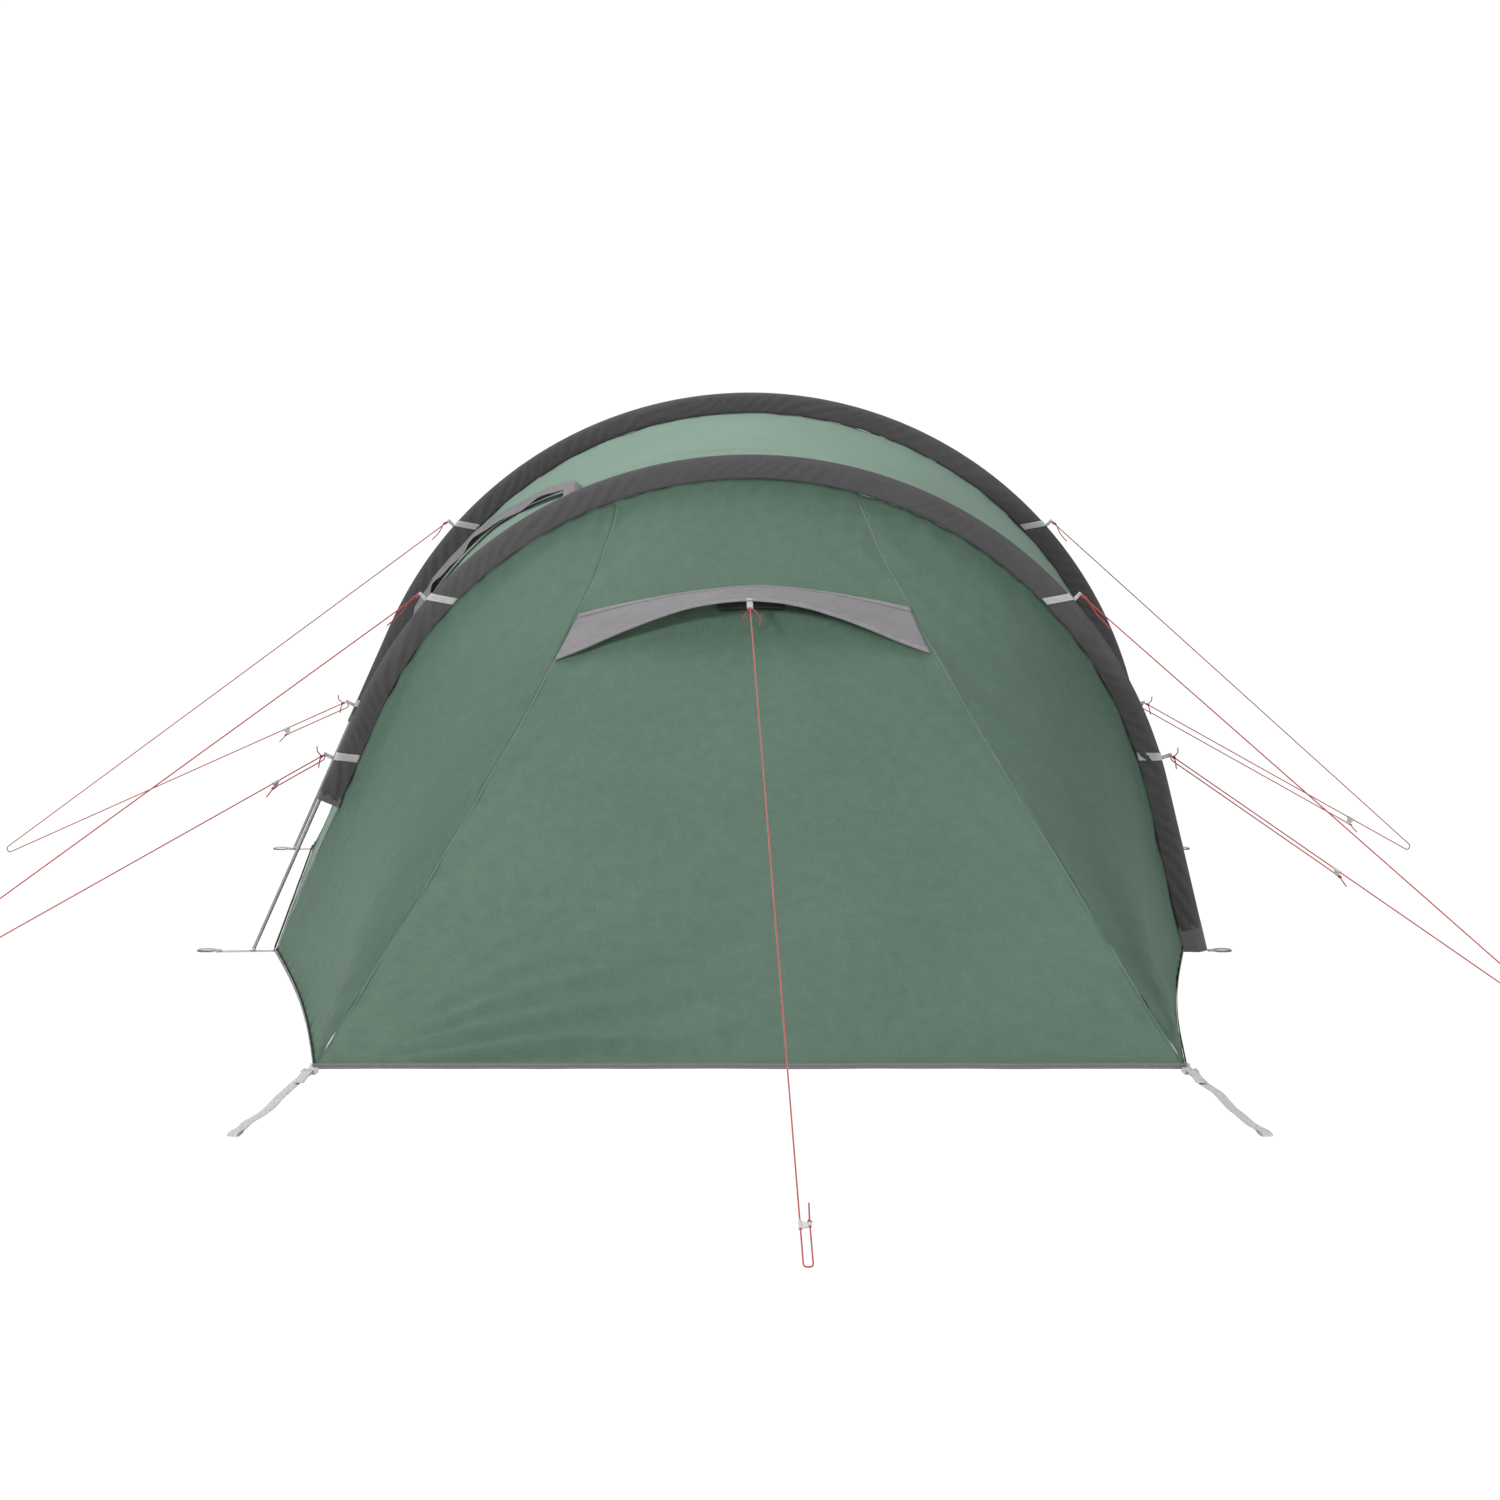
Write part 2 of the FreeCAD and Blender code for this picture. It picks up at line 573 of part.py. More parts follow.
def sleeves():
    bindings, pockets = [], []
    for name, hoop in HOOPS.items():
        save(name + "_pole_sleeve", sleeve_layers(hoop, LEFT_SLEEVE_END_Z, POCKET_HEIGHT))
        half = SLEEVE_GAP / 2.0
        inner = hoop.leg_point(LEFT, LEFT_SLEEVE_END_Z - CLEAR, FLY_INSET - SKIN - SEAT)
        outer = hoop.leg_point(LEFT, LEFT_SLEEVE_END_Z - CLEAR, -SLEEVE_OUTER)
        down = (hoop.leg_point(LEFT, 0) - hoop.leg_point(LEFT, 100)).normalize() * BINDING_LENGTH
        for start in (half, -half - SLEEVE_WALL):
            outline = [p + V(0, start, 0) for p in (inner, outer, outer + down, inner + down)]
            bindings.append(plate(outline, SLEEVE_WALL, V(0, 1, 0)))
        levels = (SLEEVE_WALL + CLEAR, POCKET_HEIGHT - CLEAR)
        inner = [hoop.leg_point(RIGHT, z, FLY_INSET - SKIN - SEAT) for z in levels]
        edge = [hoop.leg_point(RIGHT, z, SLEEVE_WALL - SLEEVE_OUTER) for z in levels]
        outer = [hoop.leg_point(RIGHT, z, -SLEEVE_OUTER) for z in levels]
        for start in (half, -half - SLEEVE_WALL):
            outline = [p + V(0, start, 0) for p in (inner[0], outer[0], outer[1], inner[1])]
            pockets.append(plate(outline, SLEEVE_WALL, V(0, 1, 0)))
        outline = [p + V(0, -half, 0) for p in (edge[0], outer[0], outer[1], edge[1])]
        pockets.append(plate(outline, SLEEVE_GAP, V(0, 1, 0)))
        width = outer[0].x - inner[0].x
        floor = block(V(inner[0].x + SKIN, hoop.y, 0), V(1, 0, 0), V(0, 1, 0), width,
                      SLEEVE_GAP + 2 * SLEEVE_WALL, SLEEVE_WALL)
        pockets.append(floor)
    save("sleeve_end_bindings", bindings)
    save("sleeve_end_pockets", pockets)


def band(hoop, side, z):
    """A webbing band over the sleeve with a tab at its outer edge. Returns its pieces and the tab's tip."""
    on_line, along = hoop.at_height(side, z, -SLEEVE_OUTER)
    out = V(along.z, 0, -along.x) * 1.0
    if out.dot(on_line - hoop.centre) < 0:
        out = out * -1.0
    depth = SLEEVE_OUTER + FLY_INSET - SKIN - 2 * SEAT
    half = SLEEVE_GAP / 2.0 + SLEEVE_WALL + CLEAR
    pieces = []
    a, b = on_line - along * (BAND_WIDTH / 2.0), on_line + along * (BAND_WIDTH / 2.0)
    top = out * (CLEAR + BAND_THICK)
    for start in (half, -half - BAND_THICK):
        outline = [p + V(0, start, 0) for p in (a + top, b + top, b - out * depth, a - out * depth)]
        pieces.append(plate(outline, BAND_THICK, V(0, 1, 0)))
    outline = [p + V(0, -half, 0) for p in (a + top, b + top, b + out * CLEAR, a + out * CLEAR)]
    pieces.append(plate(outline, 2 * half, V(0, 1, 0)))
    c, d = on_line - along * (TAB_WIDTH / 2.0) + top, on_line + along * (TAB_WIDTH / 2.0) + top
    outline = [p + V(0, -BAND_THICK, 0) for p in (c, d, d + out * TAB_LENGTH, c + out * TAB_LENGTH)]
    pieces.append(plate(outline, 2 * BAND_THICK, V(0, 1, 0)))
    return pieces, on_line + top + out * (TAB_LENGTH + TAB_TO_CORD)


def bands():
    tips = {}
    for name, hoop in HOOPS.items():
        pieces = []
        for side in SIDES:
            for level, z in BAND_Z[name].items():
                made, tip = band(hoop, side, z)
                pieces += made
                tips[name, side, level] = tip
        save(name + "_guy_bands", pieces)
    return tips


# ---------------------------------------------------------------- poles
def poles():
    for name, hoop in HOOPS.items():
        _, size = hoop_path(hoop, 0, 1)
        arc_section = size["arc"] / ARC_SECTIONS
        whole = sum(size.values())
        tip_top = TIP_HEAD_LENGTH
        joints = [size["left_leg"] + i * arc_section for i in range(ARC_SECTIONS + 1)]
        ends = [tip_top] + joints + [whole - tip_top]
        half = FERRULE_LENGTH / 2.0
        sections = [tube(hoop_path(hoop, a + CLEAR, b - CLEAR)[0], POLE_R, POLE_BORE_R)
                    for a, b in zip(ends, ends[1:])]
        save(name + "_left_leg_pole", sections[0])
        save(name + "_pole_sections", sections[1:])
        save(name + "_pole_ferrules",
             [tube(hoop_path(hoop, j - half, j + half)[0], FERRULE_R, POLE_R + FERRULE_CLEAR) for j in joints])
        cord_ends = tip_top + TIP_LENGTH
        save(name + "_shock_cord", swept(hoop_path(hoop, cord_ends, whole - cord_ends)[0], SHOCK_CORD_R))
        tips = []
        for side in SIDES:
            foot = hoop.leg_point(side, FOOT_Z)
            up = (hoop.leg_point(side, FOOT_Z + 100) - foot).normalize()
            head = rod(foot, foot + up * tip_top, TIP_R)
            collar = rod(foot + up * (tip_top - 3.0), foot + up * tip_top, TIP_HEAD_R)
            plug = rod(foot + up * tip_top, foot + up * (tip_top + TIP_LENGTH - CLEAR), POLE_BORE_R - FERRULE_CLEAR)
            tips.append(fused([head, collar, plug]))
        save(name + "_pole_tips", tips)


# ---------------------------------------------------------------- peg straps
def webbing_loop(start, along, across):
    """The sewn end of a strap, open from side to side for a peg."""
    under = block(start, along, across, LOOP_LENGTH, WEB_WIDTH, WEB_THICK)
    over = block(start + UP * (LOOP_HEIGHT - WEB_THICK), along, across, LOOP_LENGTH, WEB_WIDTH, WEB_THICK)
    height = LOOP_HEIGHT - 2 * WEB_THICK
    inner = block(start + UP * WEB_THICK, along, across, WEB_THICK, WEB_WIDTH, height)
    outer = block(start + UP * WEB_THICK + along * (LOOP_LENGTH - WEB_THICK), along, across,
                  WEB_THICK, WEB_WIDTH, height)
    return [under, over, inner, outer]


def corner_straps():
    """At each corner: a sewn tab, a ladder-lock buckle, and the strap that slides through it."""
    tabs, buckles, slides = [], [], {}
    strap_z = BUCKLE_BAR + (BUCKLE_SLOT - WEB_THICK) / 2.0
    for name, end, facing in (("rear", REAR_END, -1), ("front", FRONT_END, 1)):
        for side in SIDES:
            spread = math.radians(STRAP_SPREAD)
            along = V(side * math.sin(spread), facing * math.cos(spread), 0)
            across = V(along.y, -along.x, 0)
            corner = end.corners[side] + along * (SKIN + 4.0)
            tabs.append(block(corner, along, across, TAB_TO_BUCKLE, WEB_WIDTH, BUCKLE_BAR))
            start = corner + along * (TAB_TO_BUCKLE + CLEAR)
            rails = [block(start + across * s * (BUCKLE_WIDTH - BUCKLE_RAIL) / 2.0, along, across, BUCKLE_LENGTH,
                           BUCKLE_RAIL, 2 * BUCKLE_BAR + BUCKLE_SLOT) for s in (-1, 1)]
            inside = BUCKLE_WIDTH - 2 * BUCKLE_RAIL + 1.0
            low_bars = [block(start + along * a, along, across, BUCKLE_RAIL, inside, BUCKLE_BAR)
                        for a in (0.0, BUCKLE_LENGTH - BUCKLE_RAIL)]
            top_bar = block(start + along * (BUCKLE_LENGTH - BUCKLE_RAIL) / 2.0 + UP * (BUCKLE_BAR + BUCKLE_SLOT),
                            along, across, BUCKLE_RAIL, inside, BUCKLE_BAR)
            buckles.append(fused(rails + low_bars + [top_bar]))
            run = block(start - along * TAB_TO_BUCKLE + UP * strap_z, along, across,
                        STRAP_LENGTH + TAB_TO_BUCKLE, WEB_WIDTH, WEB_THICK)
            tail = block(start + UP * (strap_z + 4.6) + along * (BUCKLE_LENGTH + 6.0), along, across,
                         STRAP_TAIL, WEB_WIDTH, WEB_THICK)
            fold = block(start + UP * (strap_z + WEB_THICK) + along * (BUCKLE_LENGTH + 6.0), along, across,
                         WEB_THICK, WEB_WIDTH, 4.6 - WEB_THICK)
            loop = webbing_loop(start + along * STRAP_LENGTH + UP * CLEAR, along, across)
            save(name + "_" + SIDE_NAME[side] + "_corner_strap", [run, fold, tail] + loop)
            slides[name, side] = (start, along)
    save("corner_tabs", tabs)
    save("ladder_lock_buckles", buckles)
    return slides


def foot_straps():
    straps, eyelets = [], []
    for name, hoop in HOOPS.items():
        pole_foot = hoop.leg_point(LEFT, FOOT_Z)
        hem = hoop.leg_point(LEFT, 0, FLY_INSET)
        start = V(hem.x - SKIN - CLEAR, hoop.y, CLEAR)
        reach = abs(pole_foot.x - start.x) + FOOT_STRAP_REACH[name] - LOOP_LENGTH
        straps.append(block(start, V(LEFT, 0, 0), V(0, 1, 0), reach, WEB_WIDTH, WEB_THICK))
        straps += webbing_loop(start + V(LEFT * reach, 0, 0), V(LEFT, 0, 0), V(0, 1, 0))
        centre = V(pole_foot.x, hoop.y, CLEAR + WEB_THICK)
        ring = Part.makeCylinder(EYELET_R, EYELET_THICK, centre, UP)
        eyelets.append(ring.cut(Part.makeCylinder(EYELET_HOLE_R, EYELET_THICK, centre, UP)))
        right = hoop.leg_point(RIGHT, 0, -SLEEVE_OUTER)
        straps += webbing_loop(V(right.x + SKIN, hoop.y, CLEAR), V(RIGHT, 0, 0), V(0, 1, 0))
    save("foot_straps", straps)
    save("foot_strap_eyelets", eyelets)


# ---------------------------------------------------------------- guylines
def runner(place, along, across):
    """A moulded runner: a long barrel on the main line, a short one on the return strand, and a web."""
    radius = RUNNER_THICK / 2.0
    normal = along.cross(across).normalize()
    long_start = place - along * (RUNNER_LENGTH / 2.0)
    short_start = place + across * STRAND_SPACING - along * (RUNNER_ARM_LENGTH / 2.0)
    barrels = [Part.makeCylinder(radius, RUNNER_LENGTH, long_start, along),
               Part.makeCylinder(radius, RUNNER_ARM_LENGTH, short_start, along)]
    web = [long_start, long_start + along * RUNNER_LENGTH, short_start + along * RUNNER_ARM_LENGTH, short_start]
    web = plate([p - normal * (RUNNER_WEB / 2.0) for p in web], RUNNER_WEB, normal)
    past = along * RUNNER_BORE_R
    bores = [Part.makeCylinder(RUNNER_BORE_R, length + 2 * RUNNER_BORE_R, start - past, along)
             for start, length in ((long_start, RUNNER_LENGTH), (short_start, RUNNER_ARM_LENGTH))]
    return fused(barrels + [web]).cut(Part.makeCompound(bores))


# Where each line's loop lies on the ground, and how far up the lower line its runner sits
PEGS = {("rear", LEFT): V(-1981, -1745, 0), ("rear", RIGHT): V(1755, -1585, 0),
        ("front", LEFT): V(-2126, 780, 0), ("front", RIGHT): V(1896, 825, 0)}
RUNNER_FROM_BAND = {("rear", LEFT): 160.0, ("rear", RIGHT): 560.0,
                    ("front", LEFT): 190.0, ("front", RIGHT): 690.0}
REAR_PEG = V(86, -3260, 0)
REAR_RUNNER_FROM_PEG = 110.0
GROUND_CLEAR = CORD_R + 0.6


def cord(node, route, radii):
    """One guyline as a solid tube, with its bend radii printed."""
    path = rounded_route(route, radii)
    solid = swept(path, CORD_R)
    section = math.pi * CORD_R ** 2
    print(node, "length", round(path.Length, 1), "radii", radii,
          "volume / (section x length)", round(solid.Volume / (section * path.Length), 5))
    save(node, solid)


def side_guy(name, hoop_name, side, tips):
    """One cord: upper band, round the peg, up through the runner, round the lower band, back to the runner."""
    upper, lower = tips[hoop_name, side, "upper"], tips[hoop_name, side, "lower"]
    peg = PEGS[hoop_name, side] + UP * GROUND_CLEAR
    in_plane = (lower - peg).normalize()
    down = (peg - upper).normalize()
    across = (down + in_plane * -down.dot(in_plane)).normalize()
    half = PEG_LOOP_SPACING / 2.0
    beyond = in_plane * -half + UP * half
    turn = [peg + beyond - across * half, peg + beyond + across * half]
    line = (lower - turn[1]).normalize()
    side_step = (across - line * across.dot(line)).normalize()
    arm = side_step * STRAND_SPACING
    place = lower - line * RUNNER_FROM_BAND[hoop_name, side]
    route = [upper, turn[0], turn[1], lower, lower + arm, place + arm + line * (RUNNER_ARM_LENGTH / 2.0 + 1.0)]
    radii = [7.0, 7.0, STRAND_SPACING / 2.0, STRAND_SPACING / 2.0]
    cord(name + "_guyline", route, radii)
    save(name + "_runner", runner(place, line, side_step))
    return place, line


def rear_guy(tip):
    peg = REAR_PEG + UP * GROUND_CLEAR
    line = (peg - tip).normalize()
    across = V(1, 0, 0)
    across = (across - line * across.dot(line)).normalize()
    arm = across * STRAND_SPACING
    place = peg - line * REAR_RUNNER_FROM_PEG
    route = [tip, peg, peg + arm, place + arm - line * -(RUNNER_ARM_LENGTH / 2.0 + 1.0)]
    cord("rear_guyline", route, [STRAND_SPACING / 2.0] * 2)
    save("rear_runner", runner(place, line, across))
    return place, line


# ---------------------------------------------------------------- inner tent
INNER_REAR_Y = REAR_EDGE_Y + INNER_REAR_MARGIN
INNER_HALF_WIDTH = REAR_HALF_WIDTH - INNER_CORNER_MARGIN
INNER_HOOP_Y = REAR_HOOP_Y + INNER_HOOP_MARGIN


def leg_lean(side, height):
    return height / math.tan(math.radians(FACET_TURNS[side][-1]))


def inner_front_point(index, inset, foot_z):
    """Where a facet line of the inner tent meets its leaning front wall."""
    a = Hoop(INNER_HOOP_Y).line(inset, foot_z)[index]
    b = Hoop(INNER_FRONT_Y).line(inset, foot_z)[index]
    rise = (b.z - a.z) / (b.y - a.y)
    y = (INNER_FRONT_Y - INNER_FRONT_LEAN * (a.z - a.y * rise)) / (1 + INNER_FRONT_LEAN * rise)
    return a + (b - a) * ((y - a.y) / (b.y - a.y))


def front_wall_place(x, z):
    return V(x, INNER_FRONT_Y - INNER_FRONT_LEAN * z, z)


def inner_tent():
    base_z = GROUNDSHEET_THICK + CLEAR
    tub_z = BATHTUB_HEIGHT
    count = len(REAR.line())
    feet = {}
    for z in (0.0, base_z, tub_z):
        feet[z] = {LEFT: [Hoop(INNER_HOOP_Y).line(INNER_INSET, z)[0], inner_front_point(0, INNER_INSET, z)],
                   RIGHT: [Hoop(INNER_HOOP_Y).line(INNER_INSET, z)[-1],
                           inner_front_point(count - 1, INNER_INSET, z)]}
    corner = {}
    for z in (0.0, base_z, tub_z):
        corner[z] = {side: V(side * (INNER_HALF_WIDTH - leg_lean(side, z)), INNER_REAR_Y, z) for side in SIDES}
    outline = [corner[0.0][LEFT]] + feet[0.0][LEFT] + list(reversed(feet[0.0][RIGHT])) + [corner[0.0][RIGHT]]
    save("groundsheet", plate(outline, GROUNDSHEET_THICK, UP))

    walls = [[corner[base_z][LEFT], corner[base_z][RIGHT], corner[tub_z][RIGHT], corner[tub_z][LEFT]]]
    for side in SIDES:
        low, high = feet[base_z][side], feet[tub_z][side]
        walls.append([corner[base_z][side], low[0], high[0], corner[tub_z][side]])
        walls.append([low[0], low[1], high[1], high[0]])
    sill = [front_wall_place(feet[z][side][1].x, z) for z, side in
            ((base_z, LEFT), (base_z, RIGHT), (tub_z, RIGHT), (tub_z, LEFT))]
    save("bathtub_walls", skins(walls, INNER_SKIN) + [plate(sill, INNER_SKIN, V(0, 1, 0))])

    canopy_z = tub_z + CLEAR
    rear_line = Hoop(INNER_HOOP_Y).line(INNER_INSET, canopy_z)
    front_line = [inner_front_point(i, INNER_INSET, canopy_z) for i in range(count)]
    strips = [[rear_line[i], rear_line[i + 1], front_line[i + 1], front_line[i]] for i in range(count - 1)]
    save("inner_canopy", skins(strips, INNER_SKIN))

    end = End(Hoop(INNER_HOOP_Y - SEAM_GAP), INNER_REAR_Y, INNER_HALF_WIDTH, INNER_INSET,
              corner_z=canopy_z, lean=leg_lean(LEFT, canopy_z), foot_z=canopy_z)
    save("inner_rear_wall", skins(end.band(0.0, 1.0) + end.fan(LEFT, 0, FANS) + end.fan(RIGHT, 0, FANS), INNER_SKIN))

    whole = plate([p + V(0, CLEAR, 0) for p in front_line], INNER_SKIN, V(0, 1, 0))
    half, top, cut = INNER_DOOR_HALF_WIDTH, INNER_DOOR_TOP_Z, INNER_DOOR_CORNER
    reach, low = 3000.0, canopy_z
    boxes = [Part.makeBox(reach, reach, reach, V(half, -reach / 2, 0)),
             Part.makeBox(reach, reach, reach, V(-half - reach, -reach / 2, 0)),
             Part.makeBox(2 * half, reach, reach, V(-half, -reach / 2, top))]
    pieces = [whole.common(box) for box in boxes]
    for side in SIDES:
        corner_piece = [front_wall_place(side * half, top), front_wall_place(side * (half - cut), top),
                        front_wall_place(side * half, top - cut)]
        pieces.append(plate([p + V(0, CLEAR, 0) for p in corner_piece], INNER_SKIN, V(0, 1, 0)))
    save("inner_front_wall", pieces)

    gap = DOOR_GAP
    slant = gap * (math.sqrt(2.0) - 1.0)
    door = [(-half + gap, low + gap), (half - gap, low + gap), (half - gap, top - cut - slant),
            (half - cut - slant, top - gap), (-half + cut + slant, top - gap), (-half + gap, top - cut - slant)]
    save("inner_door", plate([front_wall_place(x, z) + V(0, CLEAR, 0) for x, z in door], INNER_SKIN, V(0, 1, 0)))
    hinge = front_wall_place(0, low + gap) + V(0, CLEAR + INNER_SKIN, 0)

    hangers = []
    for i in (2, 5, 7, 8, 10, 13):
        for y in (INNER_HOOP_Y + 60.0, INNER_FRONT_Y - 80.0):
            inner_point = Hoop(y).line(INNER_INSET - INNER_SKIN - CLEAR - 1.0)[i]
            outer_point = Hoop(y).line(FLY_INSET + CLEAR + 1.0)[i]
            hangers.append(rod(inner_point, outer_point, HANGER_R))
    save("inner_hangers", hangers)
    return hinge


def main():
    os.makedirs("parts", exist_ok=True)
    rear_panels()
    front_panels()
    front_door()
    print("front zip slider", front_zip_slider())
    tunnel()
    print("side door hinge", side_door())
    storm_flap()
    print("side zip slider", side_zip_slider())
    vent_tip = rear_vent()
    hems()
    sleeves()
    tips = bands()
    poles()
    print("corner straps", corner_straps())
    foot_straps()
    for hoop_name in HOOPS:
        for side in SIDES:
            name = hoop_name + "_" + SIDE_NAME[side]
            print(name, "runner", side_guy(name, hoop_name, side, tips))
    print("rear runner", rear_guy(vent_tip))
    print("inner door hinge", inner_tent())
    door = front_door_outline(DOOR_GAP)
    print("front door hinge", door[2] + outward(door) * SKIN)


main()
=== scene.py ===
import json
from math import atan2, cos, exp, pi, radians, sin, tan

import bmesh
import bpy
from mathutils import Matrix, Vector, noise


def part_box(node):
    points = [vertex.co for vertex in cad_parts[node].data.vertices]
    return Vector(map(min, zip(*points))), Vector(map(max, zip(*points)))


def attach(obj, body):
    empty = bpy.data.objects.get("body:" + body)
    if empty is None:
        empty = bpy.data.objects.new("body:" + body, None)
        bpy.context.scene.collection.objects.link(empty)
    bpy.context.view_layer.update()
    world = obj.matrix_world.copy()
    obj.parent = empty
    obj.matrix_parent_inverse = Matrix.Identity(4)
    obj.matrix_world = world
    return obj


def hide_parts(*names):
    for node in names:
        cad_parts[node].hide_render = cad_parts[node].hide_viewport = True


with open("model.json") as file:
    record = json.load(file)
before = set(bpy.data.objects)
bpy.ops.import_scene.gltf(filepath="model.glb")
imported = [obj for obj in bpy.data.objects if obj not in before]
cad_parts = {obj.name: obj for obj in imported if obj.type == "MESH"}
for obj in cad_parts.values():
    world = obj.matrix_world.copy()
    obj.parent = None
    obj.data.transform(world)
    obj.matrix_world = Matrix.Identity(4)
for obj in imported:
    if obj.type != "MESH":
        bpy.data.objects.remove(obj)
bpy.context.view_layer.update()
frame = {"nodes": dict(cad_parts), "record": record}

# Metres, in the CAD frame: X across the tent, Y from the low rear end to the porch, Z up.
LEFT, RIGHT = -1, 1
SIDES = (LEFT, RIGHT)
SIDE_NAME = {LEFT: "left", RIGHT: "right"}
UP = Vector((0, 0, 1))
INSIDE = Vector((0, 0, 0.1))

POLE_R = 0.00425
REAR_LOW, REAR_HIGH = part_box("rear_pole_sections")
FRONT_LOW, FRONT_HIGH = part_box("front_pole_sections")
REAR_Y = (REAR_LOW.y + REAR_HIGH.y) / 2
FRONT_Y = (FRONT_LOW.y + FRONT_HIGH.y) / 2
SPACING = FRONT_Y - REAR_Y
REAR_TOP = REAR_HIGH.z - POLE_R
GROWTH = (FRONT_HIGH.z - POLE_R) / REAR_TOP
RADIUS = 1.026                       # of the rear pole's line
LEG_TURN = {LEFT: radians(65.5), RIGHT: radians(76)}
FLY_INSET = 0.050
FABRIC = 0.0008
LEAST_FILLED = 0.32                  # a sheet with an opening counts as narrower than its outline
SLEEVE_END_Z = {LEFT: 0.386, RIGHT: 0.062}

REAR_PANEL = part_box("rear_centre_panel")
FRONT_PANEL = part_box("front_centre_panel")
SKIN_STEP = 0.0014                   # a CAD skin's thickness, measured along Y on the slopes
REAR_EDGE_Y = REAR_PANEL[0].y + SKIN_STEP
FRONT_EDGE_Y = FRONT_PANEL[1].y - SKIN_STEP
REAR_HALF_WIDTH = REAR_PANEL[1].x
FRONT_HALF_WIDTH = FRONT_PANEL[1].x


# ---------------------------------------------------------------- camera, light and floor
CAMERA_AWAY, CAMERA_HEIGHT = 7.5, 1.5    # from the rear hoop, and over the ground
CAMERA_TILT = radians(7.65)              # below level
LENS, SENSOR = 75.8, 36
WORLD_LIGHT, WORLD_SEEN = 0.38, 0.64     # what the world lights with, and what the camera sees on top of it
FLOOR_DROP = 0.0006
# Name, place, what it points at, width and power
LAMPS = (("top_light", (-0.6, 1.0, 5.0), (0, 0.2, 0.6), 2.4, 170),
         ("key_light", (-4.6, -4.2, 3.4), (0, -1.0, 0.4), 1.2, 330),
         ("fill_light", (4.4, -5.4, 1.8), (0, -1.0, 0.5), 2.4, 230))


def studio():
    camera = bpy.data.objects.new("camera", bpy.data.cameras.new("camera"))
    camera.location = (0, REAR_Y - CAMERA_AWAY, CAMERA_HEIGHT)
    camera.rotation_euler = (pi / 2 - CAMERA_TILT, 0, 0)
    camera.data.lens = LENS
    camera.data.sensor_width = SENSOR
    bpy.context.collection.objects.link(camera)
    bpy.context.scene.camera = camera
    bpy.context.scene.view_settings.view_transform = "Standard"

    world = bpy.data.worlds.new("studio")
    bpy.context.scene.world = world
    world.use_nodes = True
    tree = world.node_tree
    seen_directly = node(tree, "ShaderNodeLightPath").outputs["Is Camera Ray"]
    strength = maths(tree, "ADD", maths(tree, "MULTIPLY", seen_directly, WORLD_SEEN), WORLD_LIGHT)
    tree.links.new(strength, tree.nodes["Background"].inputs["Strength"])
    tree.nodes["Background"].inputs["Color"].default_value = (1, 1, 1, 1)
    for name, place, aim, size, power in LAMPS:
        lamp = bpy.data.objects.new(name, bpy.data.lights.new(name, "AREA"))
        lamp.data.size = size
        lamp.data.energy = power
        lamp.location = place
        lamp.rotation_euler = (Vector(aim) - Vector(place)).to_track_quat("-Z", "Y").to_euler()
        bpy.context.collection.objects.link(lamp)

    floor = bpy.data.objects.new("floor", bpy.data.meshes.new("floor"))
    build = bmesh.new()
    bmesh.ops.create_grid(build, x_segments=4, y_segments=4, size=40)
    build.to_mesh(floor.data)
    build.free()
    floor.location.z = -FLOOR_DROP
    bpy.context.collection.objects.link(floor)
    # The floor lights the tent as pale paint does, but the camera sees it as plain white.
    paint = plain("floor_paint", (0.94, 0.94, 0.94), 0.9, 30, 0.01)
    tree = paint.node_tree
    shader = tree.nodes["Principled BSDF"]
    shader.inputs["Emission Color"].default_value = (1, 1, 1, 1)
    seen_directly = node(tree, "ShaderNodeLightPath").outputs["Is Camera Ray"]
    painted = shader.inputs["Base Color"].links[0].from_socket
    tree.links.new(blend(tree, seen_directly, painted, (0.03, 0.03, 0.03, 1)), shader.inputs["Base Color"])
    tree.links.new(seen_directly, shader.inputs["Emission Strength"])
    floor.data.materials.append(paint)


# ---------------------------------------------------------------- materials
def node(tree, kind, inputs=None, **settings):
    """A shader node. An input is a value, or another node's output socket."""
    made = tree.nodes.new(kind)
    for key, value in settings.items():
        setattr(made, key, value)
    for key, value in (inputs or {}).items():
        if isinstance(value, bpy.types.NodeSocket):
            tree.links.new(value, made.inputs[key])
        else:
            made.inputs[key].default_value = value
    return made


def maths(tree, operation, a, b=0.0):
    return node(tree, "ShaderNodeMath", {0: a, 1: b}, operation=operation).outputs[0]


def blend(tree, factor, a, b):
    """The first colour where the factor is 0 and the second where it is 1."""
    return node(tree, "ShaderNodeMix", {0: factor, 6: a, 7: b}, data_type="RGBA").outputs[2]


def surface_uv(tree):
    """The texture coordinates in metres: both together, across and along."""
    uv = node(tree, "ShaderNodeUVMap", uv_map="UVMap").outputs[0]
    apart = node(tree, "ShaderNodeSeparateXYZ", {0: uv})
    return uv, apart.outputs[0], apart.outputs[1]


def ribs(tree, coordinate, pitch):
    """A sine wave along a coordinate."""
    return maths(tree, "SINE", maths(tree, "MULTIPLY", coordinate, 2 * pi / pitch))


def blank(name, roughness, **shader_values):
    """A material with only its main shader, and that shader and tree to build on."""
    material = bpy.data.materials.new(name)
    material.use_nodes = True
    tree = material.node_tree
    shader = tree.nodes["Principled BSDF"]
    shader.inputs["Roughness"].default_value = roughness
    for key, value in shader_values.items():
        shader.inputs[key.replace("_", " ")].default_value = value
    return material, tree, shader


